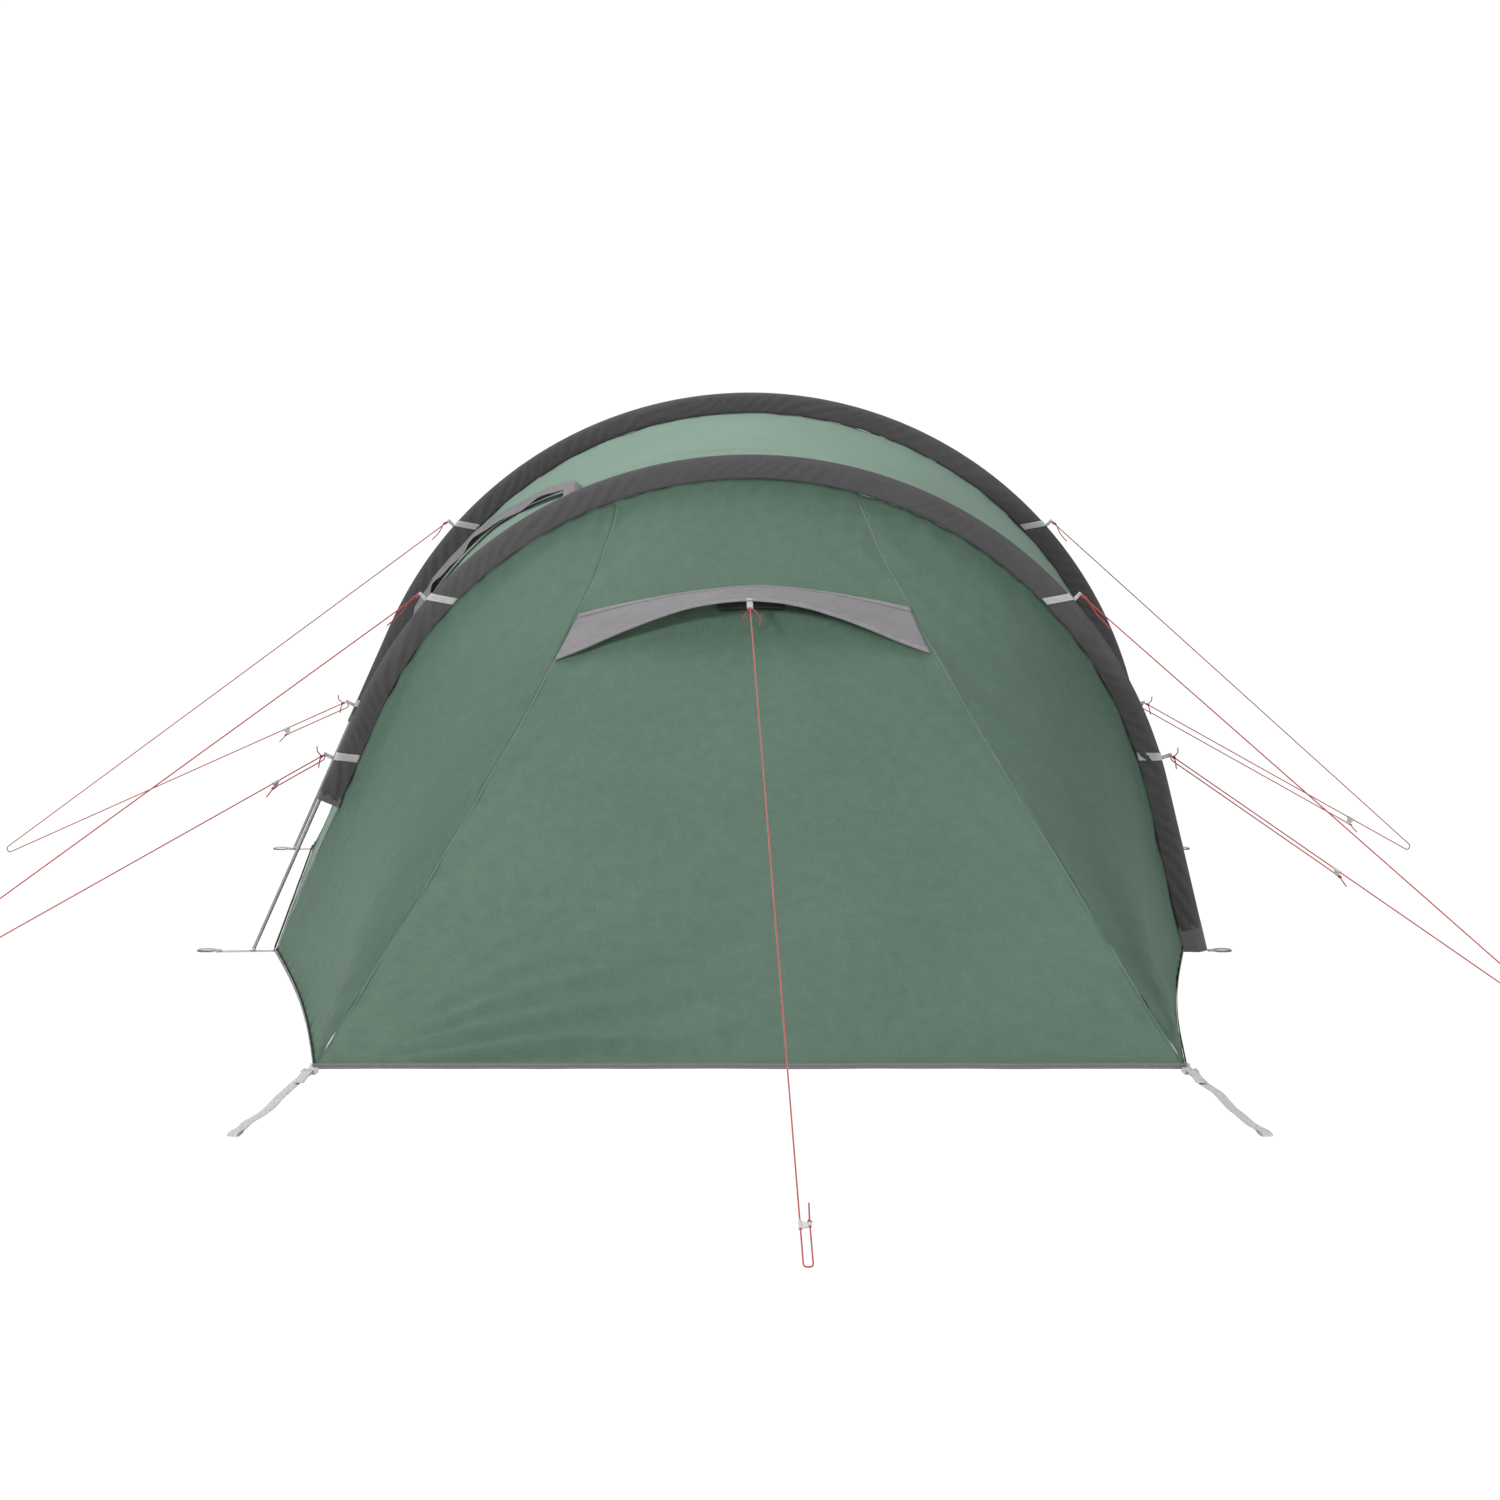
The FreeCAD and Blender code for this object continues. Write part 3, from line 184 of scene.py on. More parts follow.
def shades(tree, factor, colour, spread):
    """The colour made a little darker or lighter by a factor from 0 to 1."""
    ramp = node(tree, "ShaderNodeValToRGB", {0: factor})
    for element, share in zip(ramp.color_ramp.elements, (1 - spread, 1 + spread)):
        element.color = [min(channel * share, 1) for channel in colour] + [1]
    ramp.color_ramp.elements[0].position = 0.25
    ramp.color_ramp.elements[1].position = 0.75
    return ramp.outputs[0]


def clouds(tree, vector, scale, detail=3.0):
    return node(tree, "ShaderNodeTexNoise", {"Vector": vector, "Scale": scale, "Detail": detail}).outputs[0]


def bump(tree, shader, height, distance):
    made = node(tree, "ShaderNodeBump", {"Height": height, "Distance": distance, "Strength": 1.0})
    tree.links.new(made.outputs[0], shader.inputs["Normal"])


def lines(tree, coordinate, pitch, share):
    """1 on thin lines that repeat along a coordinate, 0 between them."""
    place = maths(tree, "FRACT", maths(tree, "MULTIPLY", coordinate, 1 / pitch))
    return maths(tree, "LESS_THAN", place, share)


def plain(name, colour, roughness, scale, spread, depth=0.0, **shader_values):
    """Moulded, painted or bare material: mottled colour and a fine grain."""
    material, tree, shader = blank(name, roughness, **shader_values)
    place = node(tree, "ShaderNodeTexCoord").outputs["Object"]
    grain = clouds(tree, place, scale)
    tree.links.new(shades(tree, grain, colour, spread), shader.inputs["Base Color"])
    if depth:
        bump(tree, shader, clouds(tree, place, scale * 6), depth)
    return material


THREAD = 0.0012
PICK = 0.0022
STITCH, STITCH_SHARE, STITCH_HALF = 0.0034, 0.68, 0.0007


def cloth(name, colour, roughness=0.62, grid=0.005, spread=0.05, grain=0.0003, patches=2.2,
          **shader_values):
    """Woven fabric: threads, a ripstop grid of thicker ones, and slow changes of shade."""
    material, tree, shader = blank(name, roughness, **shader_values)
    uv, across, along = surface_uv(tree)
    rip = maths(tree, "MAXIMUM", lines(tree, across, grid, 0.14), lines(tree, along, grid, 0.14))
    threads = maths(tree, "MULTIPLY", ribs(tree, across, THREAD), ribs(tree, along, THREAD))
    slow = clouds(tree, uv, patches)
    fine = clouds(tree, uv, 170, 2.0)
    coarse = clouds(tree, uv, 34)
    mottled = maths(tree, "ADD", maths(tree, "MULTIPLY", fine, 0.36), maths(tree, "MULTIPLY", coarse, 0.30))
    mixed = maths(tree, "ADD", maths(tree, "MULTIPLY", slow, 0.34), mottled)
    tone = maths(tree, "ADD", mixed, maths(tree, "MULTIPLY", rip, 0.10))
    tree.links.new(shades(tree, tone, colour, spread), shader.inputs["Base Color"])
    height = maths(tree, "ADD", maths(tree, "MULTIPLY", threads, 0.35), rip)
    bump(tree, shader, maths(tree, "ADD", height, maths(tree, "MULTIPLY", fine, 1.5)), grain)
    return material


def tape(name, colour, rib=0.0016, stitch_row=0.0, half_width=0.01, stitch=(0.6, 0.6, 0.6),
         spread=0.10, roughness=0.7):
    """Webbing or binding tape: ribs along it, and rows of stitches near both edges."""
    material, tree, shader = blank(name, roughness, Sheen_Weight=0.2)
    uv, across, along = surface_uv(tree)
    weave = maths(tree, "MULTIPLY", ribs(tree, across, rib), ribs(tree, along, PICK))
    colour_out = shades(tree, maths(tree, "ADD", clouds(tree, uv, 60), maths(tree, "MULTIPLY", weave, 0.12)),
                        colour, spread)
    height = weave
    if stitch_row:
        off = maths(tree, "SUBTRACT", maths(tree, "ABSOLUTE", across), half_width - stitch_row)
        near = maths(tree, "LESS_THAN", maths(tree, "ABSOLUTE", off), STITCH_HALF)
        dash = maths(tree, "MULTIPLY", near, lines(tree, along, STITCH, STITCH_SHARE))
        colour_out = blend(tree, dash, colour_out, (*stitch, 1))
        height = maths(tree, "ADD", weave, maths(tree, "MULTIPLY", dash, -2.0))
    tree.links.new(colour_out, shader.inputs["Base Color"])
    bump(tree, shader, height, 0.0004)
    return material


def braid(name, colour):
    """Braided cord: fine specks of shade and relief stand for its strands."""
    material, tree, shader = blank(name, 0.55, Sheen_Weight=0.3)
    place = node(tree, "ShaderNodeTexCoord").outputs["Object"]
    specks = clouds(tree, place, 900, 1.0)
    tree.links.new(shades(tree, specks, colour, 0.35), shader.inputs["Base Color"])
    bump(tree, shader, specks, 0.0004)
    return material


def net(name, colour):
    """Insect mesh, as wires crossing on a darker ground; the near-black ground is painted shade, an opaque
    stand-in for the shaded inside seen through the mesh.
    """
    material, tree, shader = blank(name, 0.8)
    _, across, along = surface_uv(tree)
    wires = maths(tree, "MAXIMUM", lines(tree, across, 0.0016, 0.35), lines(tree, along, 0.0016, 0.35))
    tree.links.new(shades(tree, wires, colour, 0.7), shader.inputs["Base Color"])
    bump(tree, shader, wires, 0.0003)
    return material


MATERIALS = {
    "fly_green": cloth("fly_green", (0.071, 0.130, 0.0925), spread=0.30, grain=0.0006, Specular_IOR_Level=0.35),
    # roof_green is the same fly fabric painted lighter: painted light for the roof, which faces the light from
    # above and lets light through
    "roof_green": cloth("roof_green", (0.153, 0.231, 0.184), spread=0.16, Specular_IOR_Level=0.35),
    "sleeve_charcoal": cloth("sleeve_charcoal", (0.067, 0.064, 0.067), grid=0.003, spread=0.20, roughness=0.75,
                             Specular_IOR_Level=0.3),
    "hood_grey": cloth("hood_grey", (0.165, 0.158, 0.165), grid=0.004, spread=0.24, roughness=0.7, patches=9.0),
    "binding_grey": tape("binding_grey", (0.115, 0.115, 0.115), stitch_row=0.0025, half_width=0.006,
                         stitch=(0.22, 0.22, 0.22)),
    "seam_green": tape("seam_green", (0.072, 0.131, 0.094), stitch_row=0.001, half_width=0.003,
                       stitch=(0.055, 0.100, 0.072), spread=0.08),
    "hood_hem": tape("hood_hem", (0.180, 0.173, 0.180), stitch_row=0.002, half_width=0.006,
                     stitch=(0.11, 0.11, 0.115), spread=0.14),
    # The mesh is drawn opaque: the near-black ground between its wires is painted shade for the dark inside
    # behind the vent
    "mesh": net("mesh", (0.03, 0.03, 0.03)),
    "zip_black": tape("zip_black", (0.028, 0.028, 0.03), rib=0.003, roughness=0.5),
    "slider_metal": plain("slider_metal", (0.12, 0.12, 0.12), 0.35, 300, 0.2, 0.0001, Metallic=0.8),
    "webbing": tape("webbing", (0.46, 0.46, 0.455), stitch_row=0.003, half_width=0.010,
                    stitch=(0.70, 0.70, 0.70)),
    "guy_cord": braid("guy_cord", (0.31, 0.007, 0.005)),
    "runner_plastic": plain("runner_plastic", (0.42, 0.41, 0.40), 0.45, 260, 0.10, 0.0001),
    "buckle_plastic": plain("buckle_plastic", (0.36, 0.36, 0.36), 0.42, 260, 0.10, 0.0001),
    "fibreglass": plain("fibreglass", (0.22, 0.22, 0.23), 0.3, 90, 0.18, 0.00005, Coat_Weight=0.3),
    "ferrule_steel": plain("ferrule_steel", (0.55, 0.55, 0.55), 0.32, 200, 0.10, 0.00005, Metallic=1.0),
    "tip_metal": plain("tip_metal", (0.50, 0.50, 0.50), 0.38, 200, 0.12, 0.00005, Metallic=1.0),
    "brass_eyelet": plain("brass_eyelet", (0.45, 0.43, 0.38), 0.3, 200, 0.12, 0.00005, Metallic=1.0),
    "shock_cord": plain("shock_cord", (0.03, 0.03, 0.03), 0.7, 400, 0.25, 0.0002),
    "groundsheet_pe": cloth("groundsheet_pe", (0.085, 0.090, 0.092), grid=0.008, roughness=0.45),
    "inner_fabric": cloth("inner_fabric", (0.50, 0.50, 0.47), grid=0.004, roughness=0.75),
    "hanger": plain("hanger", (0.12, 0.12, 0.12), 0.6, 300, 0.2, 0.0001),
}
studio()


# ---------------------------------------------------------------- the tent's cross-section
class Hoop:
    """The pole line at one Y: an arc over two straight legs, and lines parallel to it."""

    def __init__(self, y):
        self.y = y
        scale = 1 + (y - REAR_Y) / SPACING * (GROWTH - 1)
        self.radius = RADIUS * scale
        self.centre_z = (REAR_TOP - RADIUS) * scale

    def at(self, turn, inset=0.0):
        """A point by its turn from the crown, negative to the left, on the arc."""
        reach = self.radius - inset
        return Vector((sin(turn) * reach, self.y, self.centre_z + cos(turn) * reach))

    def leg(self, side, z, inset=0.0):
        top = self.at(side * LEG_TURN[side], inset)
        return Vector((top.x + side * (top.z - z) / tan(LEG_TURN[side]), self.y, z))

    def knee_z(self, side, inset=0.0):
        return self.at(side * LEG_TURN[side], inset).z

    def run(self, share, inset=0.0):
        """A point by its share of the girth: -1 the left foot, 0 the crown, 1 the right foot."""
        side = LEFT if share < 0 else RIGHT
        arc = arc_share(side)
        if abs(share) <= arc:
            return self.at(share / arc * LEG_TURN[side], inset)
        down = (abs(share) - arc) / (1 - arc)
        return self.leg(side, self.knee_z(side, inset) * (1 - down), inset)

    def share_at(self, side, z, inset=0.0):
        """The share of the girth at a height."""
        knee = self.knee_z(side, inset)
        arc = arc_share(side)
        if z <= knee:
            return side * (1 - (1 - arc) * z / knee)
        low, high = 0.0, arc
        for _ in range(40):
            middle = (low + high) / 2
            if self.run(side * middle, inset).z > z:
                low = middle
            else:
                high = middle
        return side * low

    def outward(self, share):
        side = LEFT if share < 0 else RIGHT
        turn = max(min(share / arc_share(side), 1), -1) * LEG_TURN[side]
        return Vector((sin(turn), 0, cos(turn)))


def arc_share(side):
    """The arc's share of half the girth, measured on the rear pole."""
    arc = RADIUS * LEG_TURN[side]
    knee = REAR_TOP - RADIUS + RADIUS * cos(LEG_TURN[side])
    return arc / (arc + knee / sin(LEG_TURN[side]))


def turn_share(degrees):
    """The share of the girth at a turn from the crown in degrees."""
    side = LEFT if degrees < 0 else RIGHT
    return arc_share(side) * radians(degrees) / LEG_TURN[side]


REAR, FRONT = Hoop(REAR_Y), Hoop(FRONT_Y)
HOOPS = {"rear": REAR, "front": FRONT}


# ---------------------------------------------------------------- sheet building
def spread(low, high, count):
    return [low + (high - low) * i / (count - 1) for i in range(count)]


def eased(value):
    value = max(0.0, min(1.0, value))
    return value * value * (3 - 2 * value)


def finish_piece(name, mesh, body, slot, stands_for=(), material=None):
    piece = bpy.data.objects.new(name, mesh)
    bpy.context.collection.objects.link(piece)
    mesh.materials.append(MATERIALS[material or slot])
    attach(piece, body)
    if stands_for:
        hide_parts(*stands_for)
    return piece


def thicken(piece, thickness, offset=0.0):
    modifier = piece.modifiers.new("thickness", "SOLIDIFY")
    modifier.thickness = thickness
    modifier.offset = offset
    modifier.use_even_offset = False


def normals_of(rows):
    """A normal for each point of a grid, on the side away from the tent's inside."""
    found = []
    for i, row in enumerate(rows):
        line = []
        for j, point in enumerate(row):
            down = rows[min(i + 1, len(rows) - 1)][j] - rows[max(i - 1, 0)][j]
            over = row[min(j + 1, len(row) - 1)] - row[max(j - 1, 0)]
            normal = down.cross(over)
            normal = normal.normalized() if normal.length > 1e-12 else UP.copy()
            line.append(normal)
        found.append(line)
    middle = rows[len(rows) // 2][len(rows[0]) // 2]
    if found[len(rows) // 2][len(rows[0]) // 2].dot(middle - INSIDE) < 0:
        found = [[-normal for normal in line] for line in found]
    return found


def sheet_mesh(name, rows, relief=None, hole=None):
    """A mesh of quads through rows of points, with its texture coordinates in metres.
    relief(point) says how far a point moves along its normal, and hole(i, j) leaves a quad out."""
    if relief:
        normals = normals_of(rows)
        rows = [[point + normals[i][j] * relief(point) for j, point in enumerate(row)]
                for i, row in enumerate(rows)]
    build = bmesh.new()
    corners = [[build.verts.new(point) for point in row] for row in rows]
    uvs = {}
    down = [0.0] * len(rows[0])
    for i, row in enumerate(rows):
        over = [0.0]
        for a, b in zip(row, row[1:]):
            over.append(over[-1] + (b - a).length)
        if i:
            down = [length + (row[j] - rows[i - 1][j]).length for j, length in enumerate(down)]
        for j, vert in enumerate(corners[i]):
            uvs[vert] = (over[j] - over[-1] / 2, down[j])
    layer = build.loops.layers.uv.new("UVMap")
    for i in range(len(rows) - 1):
        for j in range(len(rows[0]) - 1):
            if hole and hole(i, j):
                continue
            face = build.faces.new((corners[i][j], corners[i][j + 1], corners[i + 1][j + 1], corners[i + 1][j]))
            face.smooth = True
            for loop in face.loops:
                loop[layer].uv = uvs[loop.vert]
    bmesh.ops.delete(build, geom=[v for v in build.verts if not v.link_faces], context="VERTS")
    bmesh.ops.remove_doubles(build, verts=build.verts, dist=1e-5)
    bmesh.ops.dissolve_degenerate(build, edges=build.edges, dist=1e-6)
    bmesh.ops.recalc_face_normals(build, faces=build.faces)
    mesh = bpy.data.meshes.new(name)
    build.to_mesh(mesh)
    build.free()
    return mesh


def ribbon_piece(name, rows, body, slot, stands_for=(), thickness=FABRIC, material=None):
    piece = finish_piece(name, sheet_mesh(name, rows), body, slot, stands_for, material)
    thicken(piece, thickness)
    return piece


def cloth_piece(name, rows, body, slot, stands_for=(), relief=None, hole=None):
    """A sheet of cloth through rows of points."""
    piece = finish_piece(name, sheet_mesh(name, rows, relief, hole), body, slot, stands_for)
    width = max(line_length(row) for row in rows)
    length = max(line_length([row[j] for row in rows]) for j in range(len(rows[0])))
    area = sum(face.area for face in piece.data.polygons)
    width = min(width, area / (LEAST_FILLED * length))
    thicken(piece, FABRIC)
    return piece


def line_length(points):
    return sum((b - a).length for a, b in zip(points, points[1:]))


def tangent_at(path, i):
    return (path[min(i + 1, len(path) - 1)] - path[max(i - 1, 0)]).normalized()


def ribbon_rows(path, normals, width, lift=0.0, crown=0.0, columns=5, sway=None):
    """Rows of points for a ribbon that follows a path and lies flat on a surface with those normals."""
    rows = []
    for i, point in enumerate(path):
        across = normals[i].cross(tangent_at(path, i)).normalized()
        row = []
        for share in spread(-0.5, 0.5, columns):
            rise = lift + crown * (1 - (2 * share) ** 2)
            shift = sway(i / (len(path) - 1), share) if sway else 0.0
            row.append(point + across * (width * share) + normals[i] * (rise + shift))
        rows.append(row)
    return rows


def surface_path(surface, places):
    """Points and outward normals of a surface at a list of its own coordinates."""
    step = 2e-3
    points, normals = [], []
    for a, b in places:
        here = surface(a, b)
        down = surface(a + step, b) - surface(a - step, b)
        normal = down.cross(surface(a, b + step) - surface(a, b - step))
        normal.normalize()
        points.append(here)
        normals.append(normal if normal.dot(here - INSIDE) > 0 else -normal)
    return points, normals


def rumple(point, size, seed=0.0):
    """Smooth noise from -1 to 1 with bumps of about that size."""
    return noise.noise(point / size + Vector((seed, seed * 0.7, 0)))


def coons(top, low, left, right):
    """A patch between four edge functions of 0 to 1. Returns surface(down, over)."""
    a, b, c, d = top(0), top(1), low(0), low(1)

    def surface(v, w):
        ruled = top(w) * (1 - v) + low(w) * v + left(v) * (1 - w) + right(v) * w
        return ruled - ((a * (1 - w) + b * w) * (1 - v) + (c * (1 - w) + d * w) * v)
    return surface


# ---------------------------------------------------------------- cords
CORD_R = 0.0015
STRAND_SPACING = 0.016
PEG_LOOP_SPACING = 0.016
RUNNER_ARM = 0.009
TAB_TO_CORD = 0.0075
SLEEVE_OUTER = 0.017
BAND_THICK = 0.0014
TAB_LENGTH = 0.006
CLEAR = 0.0003
GROUND_CLEAR = CORD_R + 0.0006
NEAR_TURN = 6 * 2 * CORD_R           # where a long run gets one more point
# The facets that the canopy's frame turns at, in degrees: the bands stand square to a facet
FACET_TURNS = {LEFT: (6, 17, 28, 42, 53, 60, 65.5), RIGHT: (6, 17, 28, 42, 53, 68, 76)}
BAND_Z = {"rear": {"upper": 0.857, "lower": 0.476}, "front": {"upper": 0.939, "lower": 0.425}}
PEGS = {("rear", LEFT): Vector((-1.981, -1.745, 0)), ("rear", RIGHT): Vector((1.755, -1.585, 0)),
        ("front", LEFT): Vector((-2.126, 0.780, 0)), ("front", RIGHT): Vector((1.896, 0.825, 0))}
RUNNER_FROM_BAND = {("rear", LEFT): 0.160, ("rear", RIGHT): 0.560,
                    ("front", LEFT): 0.190, ("front", RIGHT): 0.690}
REAR_PEG = Vector((0.086, -3.260, 0))
REAR_RUNNER_FROM_PEG = 0.110


def band_place(hoop, side, z):
    """Where a guy band crosses the sleeve's outer edge, the facet's downward direction and the way out."""
    corners = [hoop.at(side * radians(turn), -SLEEVE_OUTER) for turn in FACET_TURNS[side]]
    corners.append(hoop.leg(side, 0, -SLEEVE_OUTER))
    for upper, lower in zip(corners, corners[1:]):
        if lower.z <= z <= upper.z:
            along = (lower - upper).normalized()
            point = upper + along * ((upper.z - z) / -along.z)
            out = Vector((along.z, 0, -along.x))
            return point, along, out if out.x * side > 0 else -out


def band_tip(hoop, side, z):
    point, _, out = band_place(hoop, side, z)
    return point + out * (CLEAR + BAND_THICK + TAB_LENGTH + TAB_TO_CORD)


def cord_curve(name, route, stands_for):
    """A smooth cord whose control points are the route's."""
    data = bpy.data.curves.new(name, "CURVE")
    data.dimensions = "3D"
    data.bevel_depth = CORD_R
    data.bevel_resolution = 3
    data.resolution_u = 24
    data.use_fill_caps = True
    spline = data.splines.new("NURBS")
    spline.points.add(len(route) - 1)
    for place, point in zip(spline.points, route):
        place.co = (*point, 1)
    spline.order_u = 3
    spline.use_endpoint_u = True
    data.materials.append(MATERIALS["guy_cord"])
    piece = bpy.data.objects.new(name, data)
    bpy.context.collection.objects.link(piece)
    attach(piece, "tent")
    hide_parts(stands_for)
    return piece


def tube_mesh(name, centres, radius, sides=8, closed=False):
    """A round tube through points close together."""
    build = bmesh.new()
    rings = []
    count = len(centres)
    reference = Vector((0.31, 0.17, 0.93))
    for i, centre in enumerate(centres):
        before = centres[i - 1] if i or closed else centre
        after = centres[(i + 1) % count] if i < count - 1 or closed else centre
        tangent = (after - before).normalized()
        side = tangent.cross(reference)
        if side.length < 0.05:
            side = tangent.cross(Vector((1, 0, 0)))
        side.normalize()
        reference = side.cross(tangent)
        ring = [centre + (side * cos(2 * pi * k / sides) + reference * sin(2 * pi * k / sides)) * radius
                for k in range(sides)]
        rings.append([build.verts.new(point) for point in ring])
    pairs = list(zip(rings, rings[1:])) + ([(rings[-1], rings[0])] if closed else [])
    for a, b in pairs:
        for k in range(sides):
            face = build.faces.new((a[k], a[(k + 1) % sides], b[(k + 1) % sides], b[k]))
            face.smooth = True
    if not closed:
        build.faces.new(rings[0][::-1])
        build.faces.new(rings[-1])
    bmesh.ops.recalc_face_normals(build, faces=build.faces)
    mesh = bpy.data.meshes.new(name)
    build.to_mesh(mesh)
    build.free()
    return mesh


KNOT_POINTS = 72


def knot(name, centre, along, tails=(), size=0.0045):
    """A pulled overhand knot round a cord, with its loose tails."""
    along = along.normalized()
    side = along.cross(UP).normalized()
    lift = side.cross(along)
    turns = []
    for k in range(KNOT_POINTS):
        t = 2 * pi * k / KNOT_POINTS
        turns.append(centre + along * (sin(t) + 2 * sin(2 * t)) * size * 0.42
                     + side * (cos(t) - 2 * cos(2 * t)) * size * 0.34 - lift * sin(3 * t) * size * 0.42)
    pieces = [finish_piece(name, tube_mesh(name, turns, CORD_R * 0.95, closed=True), "tent", "guy_cord")]
    for number, tail in enumerate(tails):
        path = [centre + offset for offset in smooth_path([Vector((0, 0, 0))] + list(tail))]
        label = name + "_tail_" + str(number + 1)
        pieces.append(finish_piece(label, tube_mesh(label, path, CORD_R), "tent", "guy_cord"))
    return pieces


def smooth_path(points, steps=10):
    """Points of a smooth line through a few given ones."""
    found = []
    for i in range(len(points) - 1):
        a, b = points[max(i - 1, 0)], points[i]
        c, d = points[i + 1], points[min(i + 2, len(points) - 1)]
        for k in range(steps):
            t = k / steps
            found.append(0.5 * ((2 * b) + (c - a) * t + (2 * a - 5 * b + 4 * c - d) * t * t
                                + (3 * b - a - 3 * c + d) * t ** 3))
    return found + [points[-1].copy()]


def side_guy(hoop_name, side):
    hoop, name = HOOPS[hoop_name], hoop_name + "_" + SIDE_NAME[side]
    upper = band_tip(hoop, side, BAND_Z[hoop_name]["upper"])
    lower = band_tip(hoop, side, BAND_Z[hoop_name]["lower"])
    peg = PEGS[hoop_name, side] + UP * GROUND_CLEAR
    in_plane = (lower - peg).normalized()
    down = (peg - upper).normalized()
    across = (down - in_plane * down.dot(in_plane)).normalized()
    half = PEG_LOOP_SPACING / 2
    beyond = UP * half - in_plane * half
    turn = [peg + beyond - across * half, peg + beyond + across * half]
    line = (lower - turn[1]).normalized()
    side_step = (across - line * across.dot(line)).normalized()
    arm = side_step * STRAND_SPACING
    place = lower - line * RUNNER_FROM_BAND[hoop_name, side]
    first = (upper - turn[0]).normalized()
    end = place + arm + line * (RUNNER_ARM / 2 + 0.001)
    route = [upper, turn[0] + first * NEAR_TURN, turn[0], turn[1], turn[1] + line * NEAR_TURN,
             lower - line * NEAR_TURN, lower, lower + arm, lower + arm - line * NEAR_TURN, end]
    piece = cord_curve(name + "_guy", route, name + "_guyline")
    # The upper end's knot and spare tail lie along the cord, and a small knot stops the strand in the runner.
    fall = 0.10 if hoop_name == "rear" else 0.05
    tail = [-first * fall * share + UP * rise
            for share, rise in ((0.15, 0.004), (0.5, -0.012), (1.0, -0.018))]
    loose = knot(name + "_upper_knot", upper - first * 0.010, first, [tail])
    stop = knot(name + "_runner_knot", end - line * 0.0135, line,
                [[-line * 0.006 - UP * 0.004, -line * 0.022 - UP * 0.012]], size=0.0036)
    hitch = knot(name + "_band_knot", lower - line * 0.012, line,
                 [[-line * 0.006 + UP * 0.008, -line * 0.013 + UP * 0.018, -line * 0.014 + UP * 0.030],
                  [-line * 0.006 - UP * 0.008, -line * 0.010 - UP * 0.024]], size=0.0042)


HOOD_TAB_DROP = 0.003


class Slope:
    """The plane of an end's middle panel, by share of the way down and distance across."""

    def __init__(self, hoop, edge_y):
        top = hoop.at(radians(6), FLY_INSET)
        self.top = Vector((0, hoop.y - 0.001 if edge_y < hoop.y else hoop.y + 0.001, top.z))
        self.down = Vector((0, edge_y, 0)) - self.top
        self.out = Vector((0, -self.down.z, self.down.y))
        self.out = self.out.normalized() if self.out.normalized().z > 0 else -self.out.normalized()

    def place(self, share, x, lift=0.0):
        return self.top + self.down * share + self.out * lift + Vector((x, 0, 0))


REAR_SLOPE = Slope(REAR, REAR_EDGE_Y)
FRONT_SLOPE = Slope(FRONT, FRONT_EDGE_Y)
HOOD_LOW_MIDDLE = 0.255
HOOD_LIFT = 0.042
BROW = REAR_SLOPE.place(HOOD_LOW_MIDDLE, 0, 0.002 + CLEAR + HOOD_LIFT)


def rear_guy():
    slope = REAR_SLOPE.down.normalized()
    tip = BROW + slope * (HOOD_TAB_DROP + TAB_LENGTH + TAB_TO_CORD) + REAR_SLOPE.out * (BAND_THICK / 2)
    peg = REAR_PEG + UP * GROUND_CLEAR
    line = (peg - tip).normalized()
    across = Vector((1, 0, 0)) - line * line.x
    arm = across.normalized() * STRAND_SPACING
    place = peg - line * REAR_RUNNER_FROM_PEG
    end = place + arm + line * (RUNNER_ARM / 2 + 0.001)
    route = [tip, peg - line * NEAR_TURN, peg, peg + arm, peg + arm - line * NEAR_TURN, end]
    piece = cord_curve("rear_guy", route, "rear_guyline")
    tail = [Vector((0.012, -0.004, -0.004)), Vector((0.024, -0.010, -0.020)), Vector((0.020, -0.014, -0.034))]
    short = [Vector((-0.008, -0.006, -0.006)), Vector((-0.018, -0.008, -0.022))]
    loose = knot("rear_upper_knot", tip + line * 0.012, line, [tail, short])
    stop = knot("rear_runner_knot", end + line * -0.0135, line,
                [[line * -0.010 + UP * 0.004, line * -0.026 + UP * 0.016]], size=0.0036)


for hoop_name in HOOPS:
    for side in SIDES:
        side_guy(hoop_name, side)
rear_guy()


# ---------------------------------------------------------------- flysheet
HEM_Z = 0.002
SEAM_TURN = {"rear": {LEFT: -19.3, RIGHT: 15.4}, "front": {LEFT: -17.0, RIGHT: 17.0}}
SEAM_BOW = {"rear": {LEFT: 0.054, RIGHT: 0.032}, "front": {LEFT: 0.035, RIGHT: 0.035}}
HEM_BOW = 0.018                      # the side hems curve in between their corners
GUSSET_SAG = 0.016
TUNNEL_SAG = 0.013
# Height, size and noise seed of the unevenness in all the fly's fabric
LIGHT_FOLDS = ((0.0011, 0.34, 1.0), (0.0015, 0.10, 2.0), (0.0007, 0.04, 5.0))


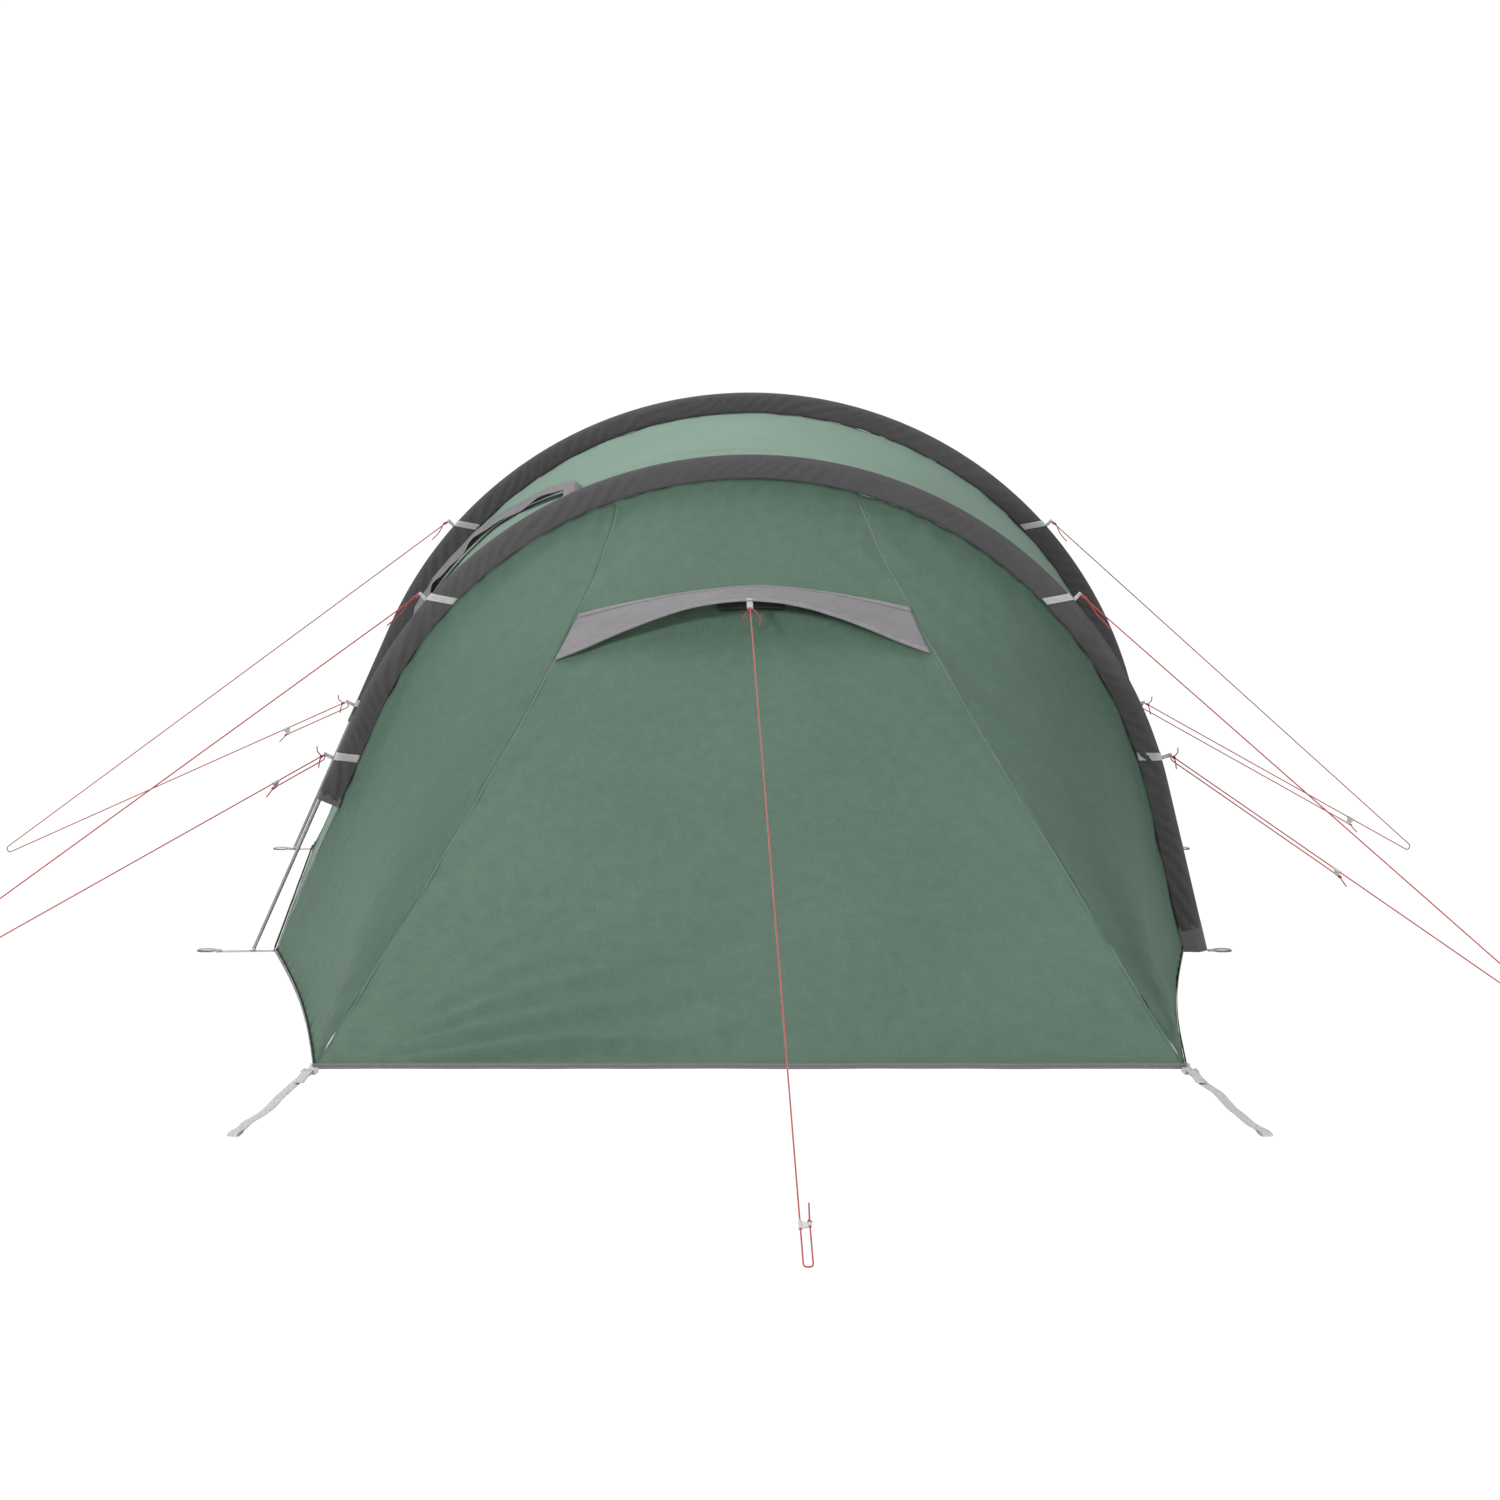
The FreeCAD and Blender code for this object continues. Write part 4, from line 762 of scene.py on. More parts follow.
class SlopingEnd:
    """One end of the flysheet: its edges, and the surfaces of its middle panel and gussets."""

    def __init__(self, name, edge_y, half_width):
        self.name, self.hoop = name, HOOPS[name]
        self.corner = {side: Vector((side * half_width, edge_y, HEM_Z)) for side in SIDES}
        seam_shares = [turn_share(SEAM_TURN[name][side]) for side in SIDES]
        self.middle = coons(self.hoop_edge(*seam_shares),
                            lambda w: self.corner[LEFT].lerp(self.corner[RIGHT], w),
                            self.seam(LEFT), self.seam(RIGHT))

    def hoop_edge(self, first, last):
        return lambda w: self.hoop.run(first + (last - first) * w, FLY_INSET)

    def seam(self, side):
        top = self.hoop.at(radians(SEAM_TURN[self.name][side]), FLY_INSET)
        bow = SEAM_BOW[self.name][side]
        return lambda v: top.lerp(self.corner[side], v) - Vector((side * bow * sin(pi * v ** 0.6), 0, 0))

    def hem(self, side):
        foot = self.hoop.leg(side, HEM_Z, FLY_INSET)
        return lambda v: foot.lerp(self.corner[side], v) - Vector((side * HEM_BOW * sin(pi * v), 0, 0))

    def gusset(self, side):
        """Down from the hoop to the corner, and over from the seam to the hem."""
        patch = coons(self.hoop_edge(turn_share(SEAM_TURN[self.name][side]), side),
                      lambda w: self.corner[side], self.seam(side), self.hem(side))

        def surface(v, w):
            inward = Vector((-side * 0.8, 0.25 if self.corner[side].y < 0 else -0.25, -0.55)).normalized()
            return patch(v, w) + inward * (GUSSET_SAG * sin(pi * min(w, 1)) * sin(pi * min(v, 1) ** 0.8))
        return surface

    def across(self, v, x):
        """The middle panel's own coordinate across, for a place at that X."""
        left, right = self.seam(LEFT)(v).x, self.seam(RIGHT)(v).x
        return (x - left) / (right - left)


def radiating(point, centre, count, reach, steepness):
    """Sharp folds that spread from a pulled corner, widen with distance and fade away from it."""
    away = point - centre
    distance = away.length
    turn = atan2((away.y ** 2 + away.z ** 2) ** 0.5, abs(away.x))
    fade = exp(-(distance / reach) ** 2) * exp(-(turn / 0.6) ** 2)
    phase = count * turn + 2.4 * rumple(point, 0.30, 3.0)
    return steepness * distance / count * fade * (1 - 2 * abs(sin(phase / 2)))


def blown(point):
    """The slow and the quick unevenness of fabric under light tension."""
    return sum(height * rumple(point, size, seed) for height, size, seed in LIGHT_FOLDS)


# Count, reach and steepness of the folds from each corner: the rear left one is pulled hardest.
CORNER_FOLDS = {("rear", LEFT): (44, 0.62, 1.45), ("rear", RIGHT): (34, 0.36, 0.90),
                ("front", LEFT): (30, 0.40, 0.50), ("front", RIGHT): (30, 0.40, 0.50)}


HOOP_PULL = (0.0018, 0.10, 95)       # the folds that a hoop pulls: height, reach, and phase per metre across
HEM_GATHER = {"middle": 0.0020, "gusset": 0.0050}
GATHER_REACH, GATHERS = 0.12, 74
SEAM_PUCKER, PUCKER_REACH = 0.0030, 0.10


def end_relief(end, side=None):
    """How far an end's fabric stands off its smooth surface: the middle panel's, or one gusset's."""
    sides = [side] if side else SIDES
    top = end.hoop.at(0, FLY_INSET).z

    def relief(point):
        folds = sum(radiating(point, end.corner[s], *CORNER_FOLDS[end.name, s]) for s in sides)
        share = max(0.0, min(1.0, 1 - point.z / top))
        height, reach, count = HOOP_PULL
        near_hoop = exp(-abs(point.y - end.hoop.y) / reach)
        pull = height * near_hoop * sin(point.x * count + 5.5 * rumple(point, 0.2, 4.0)) * eased(share / 0.02)
        along = point.y if side else point.x
        gathers = HEM_GATHER["gusset" if side else "middle"] * exp(-point.z / GATHER_REACH) \
            * eased(point.z / 0.012) * sin(along * GATHERS + 2.5 * rumple(point, 0.25, 6.0))
        beside = 0.0
        for s in sides:
            seam = end.seam(s)(share)
            off = abs(point.x - seam.x)
            beside += SEAM_PUCKER * exp(-off / PUCKER_REACH) * eased(off / 0.010) * eased(share / 0.15) \
                * sin((point.z + s * point.x * 0.9) * GATHERS + 2.6 * rumple(point, 0.2, 14.0))
        return (blown(point) + folds + pull + gathers + beside) * eased(point.z / 0.025)
    return relief


REAR_END = SlopingEnd("rear", REAR_EDGE_Y, REAR_HALF_WIDTH)
FRONT_END = SlopingEnd("front", FRONT_EDGE_Y, FRONT_HALF_WIDTH)
ENDS = {"rear": REAR_END, "front": FRONT_END}


def blocks(stops, counts):
    """Places between stops, with a count of steps in each block."""
    places = [stops[0]]
    for low, high, count in zip(stops, stops[1:], counts):
        places += [low + (high - low) * (k + 1) / count for k in range(count)]
    return places


def patch_rows(surface, downs, edges, counts):
    return [[surface(v, w) for w in blocks(edges(v), counts)] for v in downs]


VENT = {"top": 0.220, "bottom": 0.247, "half_width": 0.075}


def vent_edges(v):
    """Where the middle panel's columns lie across: they close in on the vent from the hoop down."""
    near = eased(v / VENT["top"])
    left, right = [start + (REAR_END.across(v, side * VENT["half_width"]) - start) * near
                   for side, start in ((LEFT, 0.42), (RIGHT, 0.58))]
    return [0, left, right, 1]


def gussets(end, downs, overs):
    for side in SIDES:
        name = end.name + "_" + SIDE_NAME[side] + "_gusset"
        rows = patch_rows(end.gusset(side), spread(0, 1, downs), lambda v: [0, 1], [overs])
        cloth_piece(name + "_fly", rows, "tent", "fly_green", [name], end_relief(end, side))


def opening(down_counts, over_counts):
    """A test that says which quads of a grid lie in its middle block."""
    top, left = down_counts[0], over_counts[0]
    bottom, right = top + down_counts[1], left + over_counts[1]
    return lambda i, j: top <= i < bottom and left <= j < right


def middle_fly(end, top, bottom, edges, down_counts, over_counts):
    """An end's middle panel with the opening between two shares of the way down."""
    rows = patch_rows(end.middle, blocks([0, top, bottom, 1], down_counts), edges, over_counts)
    cloth_piece(end.name + "_fly_middle", rows, "tent", "fly_green",
                [end.name + "_centre_panel"], end_relief(end),
                hole=opening(down_counts, over_counts))


def rear_fly():
    middle_fly(REAR_END, VENT["top"], VENT["bottom"], vent_edges, [30, 4, 116], [64, 18, 64])
    gussets(REAR_END, 110, 100)


FRONT_DOOR_TOP, FRONT_DOOR_BOTTOM, FRONT_DOOR_MARGIN = 0.06, 0.97, 0.060
DOOR_GAP = 0.0015
ZIP_INSET, ZIP_WIDTH, ZIP_THICK = 0.007, 0.010, 0.0010


def front_door_half_width(share):
    crown = FRONT.at(radians(6), FLY_INSET).x
    return crown + (FRONT_HALF_WIDTH - crown) * share - FRONT_DOOR_MARGIN


def front_door_edges(v, inset=0.0):
    """Where the front door's two edges lie across the middle panel."""
    return [FRONT_END.across(v, side * (front_door_half_width(v) - inset)) for side in SIDES]


def zip_strip(name, surface, places, door, stands_for):
    points, normals = surface_path(surface, places)
    ribbon_piece(name, ribbon_rows(points, normals, ZIP_WIDTH, lift=0.0018, crown=0.0006), door, "zip_black",
                 [stands_for], ZIP_THICK)


def front_fly():
    middle_fly(FRONT_END, FRONT_DOOR_TOP, FRONT_DOOR_BOTTOM, lambda v: [0, *front_door_edges(v), 1],
               [4, 64, 3], [12, 44, 12])
    gussets(FRONT_END, 60, 70)
    downs = spread(FRONT_DOOR_TOP + DOOR_GAP, FRONT_DOOR_BOTTOM - DOOR_GAP, 60)
    rows = patch_rows(FRONT_END.middle, downs, lambda v: front_door_edges(v, DOOR_GAP), [44])
    cloth_piece("front_door_sheet", rows, "front_door", "fly_green", ["front_door"], blown)
    downs = spread(FRONT_DOOR_TOP + 0.006, FRONT_DOOR_BOTTOM - 0.006, 60)
    for number, side in enumerate(SIDES):
        places = [(v, front_door_edges(v, ZIP_INSET)[number]) for v in downs]
        zip_strip("front_zip_" + SIDE_NAME[side], FRONT_END.middle, places, "front_door", "front_door_zips")


def tunnel_surface(girth, share):
    hoop = Hoop(REAR_Y + SPACING * share)
    sag = TUNNEL_SAG * sin(pi * max(0.0, min(share, 1.0))) * (1 - min(abs(girth), 1.0) ** 3)
    return hoop.run(girth, FLY_INSET) - hoop.outward(girth) * sag


DOOR_SILL_Z = 0.026
DOOR_STEPS = 9                       # places between two of the door's given edges
# The side door's rear and front edges, from the rear hoop, at the foot and at turns from the crown.
DOOR_EDGES = (("foot", 0.250, 1.300), (65.5, 0.250, 1.300), (60, 0.255, 1.290), (53, 0.285, 1.235),
              (42, 0.345, 1.110), (28, 0.470, 0.760))


def door_outline():
    """Smooth places (girth, rear edge, front edge) from the sill to the door's top."""
    sill = -1 + (1 - arc_share(LEFT)) * DOOR_SILL_Z / REAR.knee_z(LEFT, FLY_INSET)
    places = [Vector((sill if turn == "foot" else turn_share(-turn), a / SPACING, b / SPACING))
              for turn, a, b in DOOR_EDGES]
    return smooth_path(places, DOOR_STEPS)


def tunnel_relief(point):
    near = min(abs(point.y - REAR_Y), abs(point.y - FRONT_Y))
    around = atan2(point.x, point.z - (REAR_TOP - RADIUS))
    pull = 0.0028 * exp(-near / 0.09) * eased(near / 0.01) * sin(around * 62 + 2.5 * rumple(point, 0.2, 7.0))
    long_folds = 0.0016 * sin(around * 17 + 2.5 * rumple(point, 0.5, 8.0))
    return (blown(point) * 1.5 + pull + long_folds * eased(near / 0.15)) * eased(point.z / 0.02)


def tunnel_fly():
    door_rows = [tuple(place) for place in door_outline()]
    top = door_rows[-1]
    above = [(girth, top[1], top[2]) for girth in spread(top[0], 1.0, 118)[1:]]
    levels = [(-1.0, door_rows[0][1], door_rows[0][2])] + door_rows + above
    rows = [[tunnel_surface(girth, share) for share in blocks([0, a, b, 1], [18, 22, 18])]
            for girth, a, b in levels]
    # The tunnel is drawn in roof_green, a lighter copy of the fly's green whose extra brightness is painted
    # light from above
    cloth_piece("tunnel_fly", rows, "tent", "roof_green", ["tunnel_panel"], tunnel_relief,
                hole=opening([1, len(door_rows) - 1], [18, 22]))
    gap = DOOR_GAP / SPACING
    rows = [[tunnel_surface(girth, share) for share in spread(a + gap, b - gap, 31)]
            for girth, a, b in door_rows[:-1]]
    # The side door is drawn in the same painted-light roof_green
    cloth_piece("side_door_sheet", rows, "side_door", "roof_green", ["side_door"], tunnel_relief)
    for edge, sign, label in ((1, 1, "rear"), (2, -1, "front")):
        places = [(place[0], place[edge] + sign * ZIP_INSET / SPACING) for place in door_rows[:-1]]
        zip_strip("side_zip_" + label, tunnel_surface, places, "side_door", "side_door_zip")
    # The storm flap lies over the zip on the tent's side of it, with a loose wavy edge.
    half = 0.021 / SPACING
    up = [(g, a - half) for g, a, _ in door_rows[DOOR_STEPS:]]
    over = [(top[0] + 0.012, share) for share in spread(top[1] + 0.02, top[2] - 0.02, 16)]
    down = [(g, b + half) for g, _, b in reversed(door_rows[DOOR_STEPS:])]
    points, normals = surface_path(tunnel_surface, up + over + down)

    def sway(along, share):
        """The flap stands up from its sewn edge, bends over the zip and ends in a loose wavy edge."""
        over = 0.5 + share
        hump = 0.026 * eased(over / 0.25) * (1 - 0.6 * over)
        wave = over * (0.0055 * sin(along * 64) + 0.003 * sin(along * 131 + 1))
        return eased(min(along, 1 - along) / 0.12) * (hump + wave)
    rows = ribbon_rows(points, normals, 0.044, lift=0.003, columns=13, sway=sway)
    ribbon_piece("side_door_flap", rows, "tent", "hood_grey", ["side_door_storm_flap"])


def seams():
    """Flat-felled seams down the ends' middle panels."""
    for name, end in ENDS.items():
        for side in SIDES:
            over = 0.0 if side == LEFT else 1.0
            shift = 0.003 * -side
            places = [(v, over + shift / (end.seam(RIGHT)(v).x - end.seam(LEFT)(v).x))
                      for v in spread(0.01, 0.985, 90)]
            points, normals = surface_path(end.middle, places)
            relief = end_relief(end)
            points = [point + normal * relief(point) for point, normal in zip(points, normals)]
            ribbon_piece(name + "_seam_" + SIDE_NAME[side], ribbon_rows(points, normals, 0.006, lift=0.0004),
                         "tent", "fly_green", material="seam_green", thickness=0.0005)


def hems():
    """Binding tape folded over every bottom edge."""
    lines_down = {}
    for name, end in ENDS.items():
        lines_down[name + "_hem"] = [end.corner[LEFT].lerp(end.corner[RIGHT], w) for w in spread(0, 1, 90)]
        for side in SIDES:
            lines_down[name + "_" + SIDE_NAME[side] + "_hem"] = [end.hem(side)(v) for v in spread(0, 1, 60)]
    for side in SIDES:
        lines_down[SIDE_NAME[side] + "_hem"] = [tunnel_surface(side, share) + UP * HEM_Z
                                                for share in spread(0, 1, 60)]
    for name, path in lines_down.items():
        normals = []
        for i in range(len(path)):
            normal = tangent_at(path, i).cross(UP)
            normals.append(normal if normal.dot(path[i]) > 0 else -normal)
        path = [point + UP * (0.0055 + 0.0012 * rumple(point, 0.15, 9.0)) for point in path]
        ribbon_piece(name, ribbon_rows(path, normals, 0.012, lift=0.0016, crown=0.0006), "tent", "binding_grey",
                     ["hem_bindings"], 0.0010)


rear_fly()
front_fly()
tunnel_fly()
seams()
hems()


# ---------------------------------------------------------------- pole sleeves and guy bands
SLEEVE_NOSE, SLEEVE_NECK = 0.0072, 0.0066
SLEEVE_SEAM = 0.0012                 # half the sleeve's thickness at its sewn edge


def sleeve_outline(tail=FLY_INSET):
    """The teardrop of a sleeve's cross-section, as (outwards, to the front), from its sewn edge."""
    half = [(-tail + (tail - 0.004) * share, SLEEVE_SEAM + (SLEEVE_NECK - SLEEVE_SEAM) * eased(share))
            for share in spread(0, 1, 9)]
    half += [(SLEEVE_NOSE * sin(turn), SLEEVE_NECK * cos(turn) ** 0.8) for turn in (0.35, 0.75, 1.15)]
    return half + [(SLEEVE_NOSE, 0.0)] + [(r, -y) for r, y in reversed(half)]


def around_hoop(hoop, share, outline):
    base, out = hoop.run(share), hoop.outward(share)
    return [base + out * r + Vector((0, y, 0)) for r, y in outline]


def sleeves():
    for name, hoop in HOOPS.items():
        first = hoop.share_at(LEFT, SLEEVE_END_Z[LEFT])
        last = hoop.share_at(RIGHT, SLEEVE_END_Z[RIGHT])
        outline = sleeve_outline()
        rows = []
        for share in spread(first, last, 520):
            girth = share * 1.8
            row = []
            for (r, y), place in zip(outline, around_hoop(hoop, share, outline)):
                flat = eased((0.006 - r) / 0.012) * eased((r + FLY_INSET) / 0.014)
                slant = girth / 0.046 - r / 0.034 + 2.4 * rumple(place, 0.22, 11.0)
                deep = 1 + 0.9 * eased((share - 0.45) / 0.35)
                fold = 0.0017 * deep * (1 + sin(2 * pi * slant)) * (0.7 + 0.6 * rumple(place, 0.16, 12.0))
                pucker = 0.0007 * rumple(place, 0.02, 13.0)
                sign = 1 if y > 0 else -1
                row.append(place + Vector((0, sign * flat * min(fold + pucker, 0.0037), 0)))
            rows.append(row)
        cloth_piece(name + "_sleeve", rows, "tent", "sleeve_charcoal", [name + "_pole_sleeve"])
        wide = [(r * 1.02 + 0.0004, y * 1.18) for r, y in outline]
        start = hoop.share_at(LEFT, SLEEVE_END_Z[LEFT] - 0.013)
        rows = [around_hoop(hoop, share, wide) for share in spread(start, first + 0.004, 6)]
        ribbon_piece(name + "_sleeve_end", rows, "tent", "binding_grey", ["sleeve_end_bindings"])
        low = hoop.share_at(RIGHT, 0.004)
        rows = [[Vector((p.x, p.y, max(p.z, 0.0008))) for p in around_hoop(hoop, share, wide)]
                for share in spread(last - 0.006, low, 12)]
        ribbon_piece(name + "_sleeve_pocket", rows, "tent", "binding_grey", ["sleeve_end_pockets"])


def sewn_loop(reach, halves, nose, tip):
    """The outline of a loop of webbing round a cord at that reach, as (outwards, aside)."""
    loop = [(0, halves[0]), (reach * 0.5, halves[1]), (reach - 0.004, halves[2]), (reach, 0.003),
            (reach + nose, 0.0018), (reach + tip, 0.0)]
    return loop + [(a, -b) for a, b in reversed(loop[:-1])]


def guy_bands():
    for name, hoop in HOOPS.items():
        for side in SIDES:
            for level, z in BAND_Z[name].items():
                share = hoop.share_at(side, z)
                base, out = hoop.run(share), hoop.outward(share)
                along = Vector((out.z, 0, -out.x)) * side
                outline = [(r * 1.02 + 0.0013 * (r > 0), y * 1.25 + 0.0022 * ((y > 0) - (y < 0)))
                           for r, y in sleeve_outline(tail=FLY_INSET - 0.004)]
                slant = 0.6 if level == "upper" else 0.3
                rows = [[base + out * r + Vector((0, y, 0)) + along * (step + slant * (r - 0.007))
                         for step in spread(-0.010, 0.010, 7)] for r, y in outline]
                label = name + "_" + SIDE_NAME[side] + "_" + level + "_band"
                ribbon_piece(label, rows, "tent", "webbing", [name + "_guy_bands"], BAND_THICK * 0.7)
                place, down, way = band_place(hoop, side, z)
                tip = band_tip(hoop, side, z)
                root = place - way * 0.0095
                loop = sewn_loop((tip - root).length, (0.0010, 0.0010, 0.0016), 0.0026, 0.0032)
                rows = [[root + way * a + Vector((0, b, 0)) + down * step
                         for step in spread(-0.0045, 0.0045, 5)] for a, b in loop]
                ribbon_piece(label + "_tab", rows, "tent", "webbing", thickness=BAND_THICK * 0.6)


sleeves()
guy_bands()


# ---------------------------------------------------------------- rear vent
HOOD_LINES = {"peak": (0.020, 0.2056), LEFT: {"top": (-0.392, 0.226), "low": (-0.4420, 0.314)},
              RIGHT: {"top": (0.366, 0.226), "low": (0.4080, 0.314)}}
BRIM_SHARE = 0.258
HEM_FOLD = 0.011


def rear_surface(share, x, lift=0.0):
    """A point of the rear middle panel as it is sewn, lifted off it."""
    point = REAR_END.middle(share, REAR_END.across(share, x))
    return point + REAR_SLOPE.out * lift


def hood_point(over, down):
    """The hood from its sewn top edge (down 0) to its free brim (down 1), over from left to right."""
    side = LEFT if over < 0 else RIGHT
    reach = abs(over)
    peak, ends = HOOD_LINES["peak"], HOOD_LINES[side]
    top_x = peak[0] + (ends["top"][0] - peak[0]) * reach
    top_share = peak[1] + (ends["top"][1] - peak[1]) * (reach ** 1.12)
    arch = sin(pi / 2 * (1 - reach)) ** 1.15
    low_x = -0.010 + (ends["low"][0] + 0.010) * reach
    low_share = ends["low"][1] + (BRIM_SHARE - ends["low"][1]) * arch
    top = rear_surface(top_share, top_x, 0.003)
    low = rear_surface(low_share, low_x, 0.004 + (HOOD_LIFT - 0.001) * sin(pi / 2 * (1 - reach)) ** 1.4)
    belly = 0.006 * sin(pi * down) * (1 - reach ** 4)
    wave = 0.0014 * rumple(Vector((over * 0.4, down * 0.1, 0)), 0.05, 21.0) * sin(pi / 2 * down)
    return top.lerp(low, down) + REAR_SLOPE.out * (belly + wave)


def rear_vent():
    steps = spread(-1, 1, 121)
    rows = [[hood_point(over, down) for over in steps] for down in spread(0, 1, 17)]
    cloth_piece("vent_hood", rows, "tent", "hood_grey", ["rear_vent_hood"])
    for label, low, high, lift in (("top", 0.00, 0.10, 0.0011), ("brim", 0.86, 1.005, 0.0013)):
        rows = [[hood_point(over, low + (high - low) * k / 4) + REAR_SLOPE.out * lift for over in steps]
                for k in range(5)]
        ribbon_piece("vent_hood_" + label + "_hem", rows, "tent", "hood_grey", material="hood_hem")
    # An opaque sheet in the mesh material: the dark between its wires is painted shade
    mesh = [[rear_surface(share, x, 0.0008) for x in spread(-VENT["half_width"], VENT["half_width"], 40)]
            for share in spread(VENT["top"], VENT["bottom"], 10)]
    piece = finish_piece("vent_mesh", sheet_mesh("vent_mesh", mesh), "tent", "mesh", ["rear_vent_mesh"])
    thicken(piece, 0.0005)
    tip = REAR_SLOPE.down.normalized()
    root = hood_point(0.012, 0.90) + REAR_SLOPE.out * 0.0022
    end = BROW + tip * (HOOD_TAB_DROP + TAB_LENGTH + TAB_TO_CORD)
    way = (end - root).normalized()
    square = way.cross(Vector((1, 0, 0))).normalized()
    loop = sewn_loop((end - root).length, (0.0010, 0.0012, 0.0020), 0.0028, 0.0034)
    rows = [[root + way * a + square * b + Vector((x, 0, 0)) for x in spread(-0.007, 0.007, 5)]
            for a, b in loop]
    ribbon_piece("vent_guy_loop", rows, "tent", "webbing", ["rear_vent_guy_tab"], BAND_THICK * 0.6)


rear_vent()


# ---------------------------------------------------------------- peg straps
WEB_WIDTH, WEB_THICK = 0.020, 0.0014
BUCKLE_LENGTH, TAB_TO_BUCKLE = 0.026, 0.014
BUCKLE_BAR, BUCKLE_SLOT = 0.0022, 0.0026
STRAP_LENGTH, STRAP_TAIL = 0.490, 0.095
LOOP_LENGTH, LOOP_HEIGHT = 0.046, 0.0086
STRAP_SPREAD = radians(8)
FOOT_STRAP_REACH = {"rear": 0.135, "front": 0.060}   # beyond the pole
FOOT_Z = 0.0032


def web_piece(name, path, across, body, stands_for=(), thickness=WEB_THICK * 0.75):
    """A length of webbing along a path."""
    rows = [[point + across * (WEB_WIDTH * share) for share in spread(-0.5, 0.5, 5)] for point in path]
    ribbon_piece(name, rows, body, "webbing", stands_for, thickness)


def peg_loop(name, start, along, across, body):
    """The sewn end of a strap: webbing that goes out, round and back, open for a peg."""
    half = LOOP_HEIGHT / 2
    middle = start + UP * half
    outline = [(-0.012, 0.0), (0.0, 0.0010)]
    outline += [(0.006, half * 0.55), (0.014, half * 0.86), (0.026, half * 0.88), (0.036, half * 0.80)]
    outline += [(LOOP_LENGTH - 0.005, half * 0.6), (LOOP_LENGTH - 0.001, half * 0.25),
                (LOOP_LENGTH - 0.0006, 0)]
    full = outline + [(a, -b) for a, b in reversed(outline[1:-1])] + [(-0.012, -0.0015)]
    centres = smooth_path([middle + along * a + UP * (b * 0.82) for a, b in full], 4)
    web_piece(name, centres, across, body)


def corner_straps():
    strap_z = BUCKLE_BAR + BUCKLE_SLOT / 2
    for end_name, end, facing in (("rear", REAR_END, -1), ("front", FRONT_END, 1)):
        for side in SIDES:
            name = end_name + "_" + SIDE_NAME[side]
            along = Vector((side * sin(STRAP_SPREAD), facing * cos(STRAP_SPREAD), 0))
            across = Vector((along.y, -along.x, 0))
            corner = Vector((end.corner[side].x, end.corner[side].y, 0)) + along * 0.006
            start = corner + along * (TAB_TO_BUCKLE + CLEAR)
            body = name + "_corner_strap"
            # The tab comes off the hem, goes round the buckle's first bar and back under itself.
            points = [corner - along * 0.016 + UP * 0.010, corner - along * 0.004 + UP * 0.0042,
                      start + along * 0.001 + UP * 0.0036, start + along * 0.0046 + UP * 0.0016,
                      start + UP * 0.0008, corner - along * 0.004 + UP * 0.0010]
            web_piece(name + "_tab", smooth_path(points, 5), across, "tent", ["corner_tabs"], WEB_THICK * 0.6)
            first, last = start - along * TAB_TO_BUCKLE * 0.3, start + along * (STRAP_LENGTH - 0.010)
            path = []
            for share in spread(0, 1, 60):
                loose = eased((share - 0.08) / 0.3) * eased((1 - share) / 0.1)
                rise = 0.0016 * loose * (1 + sin(share * 17 + side)) + strap_z * (1 - loose) * (share < 0.5) \
                    + 0.0040 * (1 - loose) * (share >= 0.5)
                drift = 0.0035 * loose * sin(share * 9 + side)
                path.append(first.lerp(last, share) + UP * max(rise, 0.0009) + across * drift)
            web_piece(name + "_strap", path, across, body, [body])
            # The loose tail, by distance along the strap, height and drift to the side.
            tail = [start + along * away + UP * height + across * drift * side for away, height, drift in (
                (BUCKLE_LENGTH * 0.35, strap_z + 0.0016, 0), (BUCKLE_LENGTH + 0.004, strap_z + 0.0034, 0),
                (BUCKLE_LENGTH + 0.030, 0.0072, 0.002), (BUCKLE_LENGTH + 0.066, 0.0052, 0.005),
                (BUCKLE_LENGTH + STRAP_TAIL, 0.0062, 0.009))]
            web_piece(name + "_strap_tail", smooth_path(tail, 7), across, body)
            peg_loop(name + "_strap_loop", start + along * STRAP_LENGTH + UP * CLEAR, along, across, body)


def foot_straps():
    for name, hoop in HOOPS.items():
        hem = hoop.leg(LEFT, 0, FLY_INSET)
        across = Vector((0, 1, 0))
        along = Vector((LEFT, 0, 0))
        out = hoop.leg(LEFT, FOOT_Z).x - FOOT_STRAP_REACH[name] + LOOP_LENGTH
        end = Vector((out, hoop.y, 0.0012))
        start = Vector((hem.x - 0.001, hoop.y, 0.0030))
        path = [start.lerp(end, share) + UP * (0.0010 * rumple(Vector((share, hoop.y, 0)), 0.14, 31.0) ** 2)
                for share in spread(0, 1, 24)]
        web_piece(name + "_foot_strap", path, across, "tent", ["foot_straps"])
        peg_loop(name + "_foot_strap_loop", Vector((out, hoop.y, CLEAR)), along, across, "tent")
        right = hoop.leg(RIGHT, 0, -SLEEVE_OUTER).x + 0.002
        peg_loop(name + "_pocket_loop", Vector((right, hoop.y, CLEAR)), -along, across, "tent")


corner_straps()
foot_straps()


# ---------------------------------------------------------------- inner tent
INNER_INSET = 0.120
BATHTUB = 0.120
INNER_LOW, INNER_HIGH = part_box("groundsheet")
INNER_REAR_Y = INNER_LOW.y
INNER_HOOP_Y = REAR_Y + 0.035
INNER_FRONT_Y = INNER_HIGH.y
INNER_HALF_WIDTH = REAR_HALF_WIDTH - 0.050
FRONT_LEAN = 0.04
DOOR_HALF, DOOR_TOP, DOOR_CUT = 0.360, 0.880, 0.170


def inner_point(girth_side, z, y):
    return Hoop(y).leg(girth_side, z, INNER_INSET)


def inner_corner(side, z):
    return Vector((side * (INNER_HALF_WIDTH - z / tan(LEG_TURN[side])), INNER_REAR_Y, z))


def soft(point):
    return 0.0022 * rumple(point, 0.25, 41.0) + 0.0010 * rumple(point, 0.09, 42.0)


